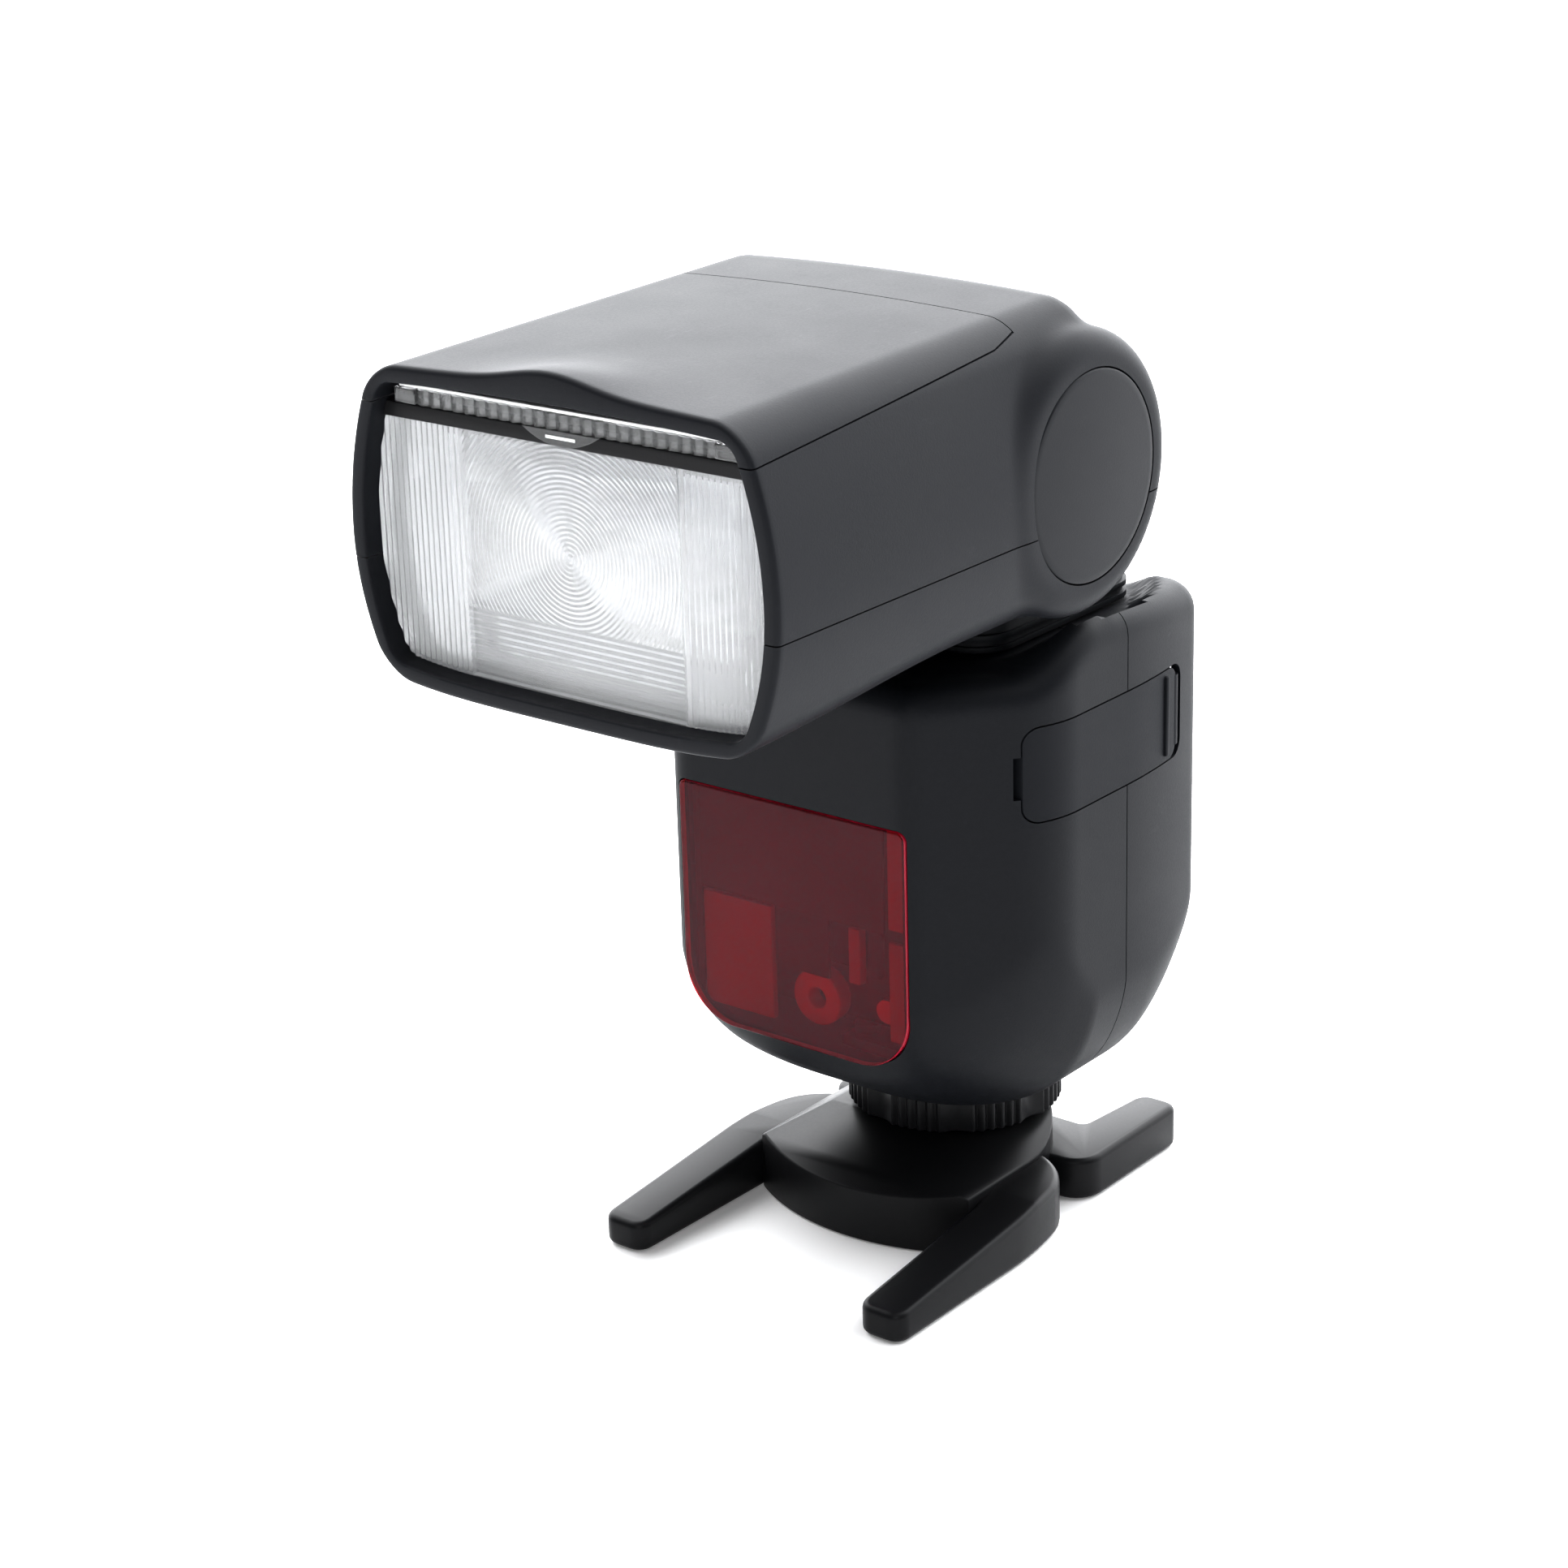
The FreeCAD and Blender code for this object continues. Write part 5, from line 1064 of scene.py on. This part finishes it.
def arc(centre, radius, start, end, steps):
    """Points on an arc, between two angles in degrees."""
    return [(centre[0] + radius * math.cos(angle), centre[1] + radius * math.sin(angle))
            for angle in np.radians(np.linspace(start, end, steps))]


def make_stand(sizes):
    """Mini stand: arched hub with a sloping deck, two swept front legs, two rear feet."""
    low, high = node_box("stand_base")
    edge = sizes.stand_edge / MM
    wall, top = 8.7, high[2]
    half, front = 20.3, 31.0
    reach = 37.0
    swing = math.degrees(math.asin(half / reach))
    plan = arc((0, reach - front), reach, 270 - swing, 270 + swing, 25)
    plan += arc((0, -8), half, 0, 180, 25)
    hub = prism("hub", "z", plan, 0, top)
    side = prism("hub_side", "x", [(-front - 1, -1), (13, -1), (13, top), (-14, top),
                                   (-front - 1, wall - 0.3)], -40, 40)
    face = prism("hub_face", "y", [(-half - 1, -1), (half + 1, -1), (half + 1, wall),
                                   (14.2, top), (-14.2, top), (-half - 1, wall)], -50, 30)
    carve(hub, side, "INTERSECT")
    carve(hub, face, "INTERSECT")
    soften(hub, edge, 3, 40)
    for way in (1, -1):
        outline = [(10, -3), (25.5, -3), (29.05, -18), (29.05, low[1]), (20.9, low[1]),
                   (20.3, -22), (10, -22)]
        outline = [(way * x, y) for x, y in outline]
        leg = rounded_prism("leg", "z", outline, 0, 9, (9, (1,)), (6, (2,)), (2.6, (3, 4)))
        slope = prism("leg_slope", "x", [(low[1] - 1, -1), (0, -1), (0, 8.6), (-18, 8.4),
                                         (-30, 7.2), (low[1] - 1, 4.7)], -40, 40)
        carve(leg, slope, "INTERSECT")
        soften(leg, edge * 1.3, 4, 40)
        carve(hub, leg, "UNION")
        outline = [(10, -1), (25.8, -1), (25.8, high[1]), (18.5, high[1]), (17, 12), (10, 12)]
        outline = [(way * x, y) for x, y in outline]
        foot = rounded_prism("rear_foot", "z", outline, 0, 7, (5, (1,)), (2.4, (2, 3)))
        soften(foot, edge * 1.2, 4, 40)
        carve(hub, foot, "UNION")
    carve(hub, add_box("shoe_slot", (-9.45, -9.2, 8.9), (9.45, 30, 11.2)))
    carve(hub, add_box("rail_gap", (-6.3, -9.2, 8.9), (6.3, 30, 20)))
    carve(hub, add_box("pin_channel", (-4.6, -6, 7.9), (4.6, 30, 9.4)))
    carve(hub, add_drum("insert_seat", "z", 4, -1, 6.5, (0, 0, 0), 64))
    hub.name = "stand_base_swept"
    done(hub, "stand", FINISHES["stand_plastic"], ["stand_base"], 35)


SOFT_EDGES = [
    ("swivel_turret", "turret", 0.45, 2),
    ("lamp_chassis", "control_unit", 0.25, 2),
    ("focus_lamp_lens", "control_unit", 0.35, 3),
    ("optical_sensor", "control_unit", 0.3, 2),
    ("sensor_bracket", "control_unit", 0.3, 2),
    *((key, key, 0.35, 3) for key in FUNCTION_KEYS + ROUND_KEYS),
    ("select_dial", "select_dial", 0.2, 2),
    ("set_button", "set_button", 0.4, 3),
    ("power_switch", "power_switch", 0.3, 2),
    ("battery_latch", "battery_latch", 0.3, 2),
    ("bounce_card", "bounce_card", 0.12, 2),
    ("lcd_window", "control_unit", 0.3, 3),
    ("foot_plate", "control_unit", 0.2, 2),
    ("zoom_carriage", "zoom_carriage", 0.25, 2),
    ("flash_reflector", "zoom_carriage", 0.15, 2),
]


# ---------------------------------------------------------------- stage

def make_surround(settings):
    """Studio surround: bright paper behind the object, soft grey overhead, dim in front."""
    world = bpy.data.worlds.new("studio")
    world.use_nodes = True
    tree = world.node_tree
    facing = tree.nodes.new("ShaderNodeVectorMath")
    facing.operation = "DOT_PRODUCT"
    where = tree.nodes.new("ShaderNodeTexCoord")
    tree.links.new(where.outputs["Generated"], facing.inputs[0])
    facing.inputs[1].default_value = Vector((-0.35, 0.9, 0.25)).normalized()
    spread = tree.nodes.new("ShaderNodeMapRange")
    spread.interpolation_type = "SMOOTHSTEP"
    tree.links.new(facing.outputs["Value"], spread.inputs["Value"])
    spread.inputs["From Min"].default_value = -0.25
    spread.inputs["From Max"].default_value = 0.95
    spread.inputs["To Min"].default_value = settings.front_surround
    spread.inputs["To Max"].default_value = settings.rear_surround
    background = tree.nodes["Background"]
    background.inputs["Color"].default_value = (0.97, 0.98, 1, 1)
    tree.links.new(spread.outputs["Result"], background.inputs["Strength"])
    bpy.context.scene.world = world


def make_stage(settings):
    low = CAD_BOX[0][2]
    bpy.ops.mesh.primitive_plane_add(size=6, location=(0, 0, low - 0.0002))
    floor = bpy.context.active_object
    floor.name = "floor"
    paper = Finish("pale_floor", (0.9, 0.9, 0.9), 0.6, emission_color=(1, 1, 1, 1),
                   emission_strength=0.12)
    cloud = paper.noise(4, 2)
    paper.set("Base Color", paper.mix(cloud, (0.89, 0.89, 0.89, 1), (0.91, 0.91, 0.91, 1)))
    floor.data.materials.append(paper.material)

    make_surround(settings)
    bpy.ops.object.light_add(type="SUN", location=(0, 0, 1))
    sun = bpy.context.active_object
    sun.name = "overhead_softbox"
    sun.data.energy = settings.top_light
    sun.data.angle = math.radians(110)
    sun.rotation_euler = (math.radians(-18), math.radians(-8), 0)

    place = Vector((0.75, -1.15, 0.75))
    bpy.ops.object.light_add(type="AREA", location=place)
    fill = bpy.context.active_object
    fill.name = "fill_softbox"
    fill.data.size = 0.6
    fill.data.energy = settings.fill_light
    fill.rotation_euler = (-place).to_track_quat("-Z", "Y").to_euler()

    bpy.ops.object.camera_add(location=settings.camera_place)
    camera = bpy.context.active_object
    camera.name = "camera"
    camera.data.lens = settings.focal_length
    camera.data.sensor_width = 36
    camera.data.clip_start = 0.01
    look = Vector(settings.camera_target) - camera.location
    turn = look.to_track_quat("-Z", "Y").to_matrix()
    roll = Matrix.Rotation(-settings.camera_roll, 3, "Z")
    camera.rotation_euler = (turn @ roll).to_euler()
    bpy.context.scene.camera = camera
    bpy.context.scene.view_settings.view_transform = "Standard"
    bpy.context.scene.view_settings.gamma = settings.tone_gamma


# ---------------------------------------------------------------- settings

def length(name, description, default):
    return FloatProperty(name=name, description=description, default=default, unit="LENGTH")


def tone(name, description, default):
    return FloatVectorProperty(name=name, description=description, default=default,
                               subtype="COLOR")


class SpeedlightSizes(PropertyGroup):
    """Sizes that a maker would change."""
    body_wall: length("Body wall", "Wall of the lower body", 0.0018)
    rim_wall: length("Head wall", "Wall of the head at its front rim", 0.0025)
    seam_gap: length("Seam gap", "Gap between two housings", 0.0002)
    stand_edge: length("Stand edge", "Round on the stand's edges", 0.0008)
    rib_pitch: length("Rib pitch", "Distance between two lens ribs", 0.00102)
    rib_depth: length("Rib depth", "Depth of the lens ribs", 0.00028)
    ring_pitch: length("Ring pitch", "Distance between two lens rings", 0.0007)
    ring_depth: length("Ring depth", "Depth of the lens rings", 0.00013)
    skin_cuts: IntProperty(name="Skin cuts", description="Cuts across each side of the body",
                           default=60, min=10)


class SpeedlightColors(PropertyGroup):
    """Base colours of the main finishes."""
    body: tone("Body", "Body plastic", (0.0062, 0.0072, 0.0098))
    head: tone("Head", "Head plastic", (0.0098, 0.0108, 0.0138))
    stand: tone("Stand", "Stand plastic", (0.009, 0.0092, 0.0105))
    window: tone("Window", "Red window", (1, 0.07, 0.15))
    # Colour of the painted highlight on the red window's rim.
    window_edge_highlight: tone("Window edge", "Edge of the red window", (0.5, 0.014, 0.05))
    lens: tone("Lens", "Clear lens", (0.93, 0.94, 0.95))


class SpeedlightStage(PropertyGroup):
    """Camera and studio light."""
    camera_place: FloatVectorProperty(name="Camera place", description="Camera location",
                                      subtype="TRANSLATION", default=(0.3063, -0.4214, 0.258))
    camera_target: FloatVectorProperty(name="Camera target", description="Point looked at",
                                       subtype="TRANSLATION", default=(-0.0337, 0, 0.0588))
    camera_roll: FloatProperty(name="Camera roll", description="Turn about the line of sight",
                               default=math.radians(1.7), subtype="ANGLE")
    focal_length: FloatProperty(name="Focal length", description="Focal length of the camera",
                                default=81.2, unit="CAMERA")
    front_surround: FloatProperty(name="Front surround", default=0.13, min=0,
                                  description="Strength of the surround in front")
    rear_surround: FloatProperty(name="Rear surround", default=5.8, min=0,
                                 description="Strength of the surround behind")
    top_light: FloatProperty(name="Top light", default=2.9, min=0,
                             description="Strength of the overhead softbox")
    fill_light: FloatProperty(name="Fill light", default=5, unit="POWER",
                              description="Power of the fill beside the camera")
    tone_gamma: FloatProperty(name="Tone gamma", default=0.8, min=0.1,
                              description="Gamma of the view, for deeper darks")


class SPEEDLIGHT_OT_finishes(Operator):
    """Makes the materials and puts them on the frame's own nodes"""
    bl_idname = "speedlight.finishes"
    bl_label = "Finishes"

    def execute(self, context):
        make_finishes(context.scene.speedlight_colors)
        return {"FINISHED"}


class SPEEDLIGHT_OT_body(Operator):
    """Builds the body's covers, port cover, battery cap and red window"""
    bl_idname = "speedlight.body"
    bl_label = "Body"

    def execute(self, context):
        make_body(context.scene.speedlight_sizes)
        make_lamp_room()
        return {"FINISHED"}


class SPEEDLIGHT_OT_head(Operator):
    """Builds the head's housings, its top cover and the tilt caps"""
    bl_idname = "speedlight.head"
    bl_label = "Head"

    def execute(self, context):
        make_head(context.scene.speedlight_sizes)
        make_tilt_caps()
        return {"FINISHED"}


class SPEEDLIGHT_OT_lens(Operator):
    """Builds the ribbed front lens and its dark frame"""
    bl_idname = "speedlight.lens"
    bl_label = "Lens"

    def execute(self, context):
        make_lens(context.scene.speedlight_sizes)
        make_bezel(context.scene.speedlight_sizes)
        return {"FINISHED"}


class SPEEDLIGHT_OT_wide_panel(Operator):
    """Builds the pull-out wide panel"""
    bl_idname = "speedlight.wide_panel"
    bl_label = "Wide panel"

    def execute(self, context):
        make_wide_panel()
        return {"FINISHED"}


class SPEEDLIGHT_OT_stand(Operator):
    """Builds the mini stand"""
    bl_idname = "speedlight.stand"
    bl_label = "Mini stand"

    def execute(self, context):
        make_stand(context.scene.speedlight_sizes)
        return {"FINISHED"}


class SPEEDLIGHT_OT_ring(Operator):
    """Builds the locking ring"""
    bl_idname = "speedlight.ring"
    bl_label = "Locking ring"

    def execute(self, context):
        make_ring()
        return {"FINISHED"}


class SPEEDLIGHT_OT_soft_edges(Operator):
    """Rounds the edges of the turret, keys and other small parts"""
    bl_idname = "speedlight.soft_edges"
    bl_label = "Small parts"

    def execute(self, context):
        for node, body, width, segments in SOFT_EDGES:
            softened(node, body, width, segments)
        return {"FINISHED"}


class SPEEDLIGHT_OT_stage(Operator):
    """Adds the floor, the lights and the camera"""
    bl_idname = "speedlight.stage"
    bl_label = "Stage"

    def execute(self, context):
        make_stage(context.scene.speedlight_stage)
        return {"FINISHED"}


STEPS = (SPEEDLIGHT_OT_finishes, SPEEDLIGHT_OT_body, SPEEDLIGHT_OT_head, SPEEDLIGHT_OT_lens,
         SPEEDLIGHT_OT_wide_panel, SPEEDLIGHT_OT_stand, SPEEDLIGHT_OT_ring,
         SPEEDLIGHT_OT_soft_edges, SPEEDLIGHT_OT_stage)


class SPEEDLIGHT_PT_panel(Panel):
    bl_label = "Speedlight flash"
    bl_space_type = "VIEW_3D"
    bl_region_type = "UI"
    bl_category = "Speedlight"

    def draw(self, context):
        scene = context.scene
        for group in (scene.speedlight_sizes, scene.speedlight_colors, scene.speedlight_stage):
            box = self.layout.box()
            for name in group.__annotations__:
                box.prop(group, name)
        for step in STEPS:
            self.layout.operator(step.bl_idname)


GROUPS = {"speedlight_sizes": SpeedlightSizes, "speedlight_colors": SpeedlightColors,
          "speedlight_stage": SpeedlightStage}
CLASSES = (*GROUPS.values(), *STEPS, SPEEDLIGHT_PT_panel)


def register():
    for kind in CLASSES:
        bpy.utils.register_class(kind)
    for name, group in GROUPS.items():
        setattr(bpy.types.Scene, name, PointerProperty(type=group))


def unregister():
    for name in GROUPS:
        delattr(bpy.types.Scene, name)
    for kind in reversed(CLASSES):
        bpy.utils.unregister_class(kind)


def main():
    register()
    for step in STEPS:
        getattr(bpy.ops.speedlight, step.bl_idname.split(".")[1])()


if __name__ == "__main__":
    main()
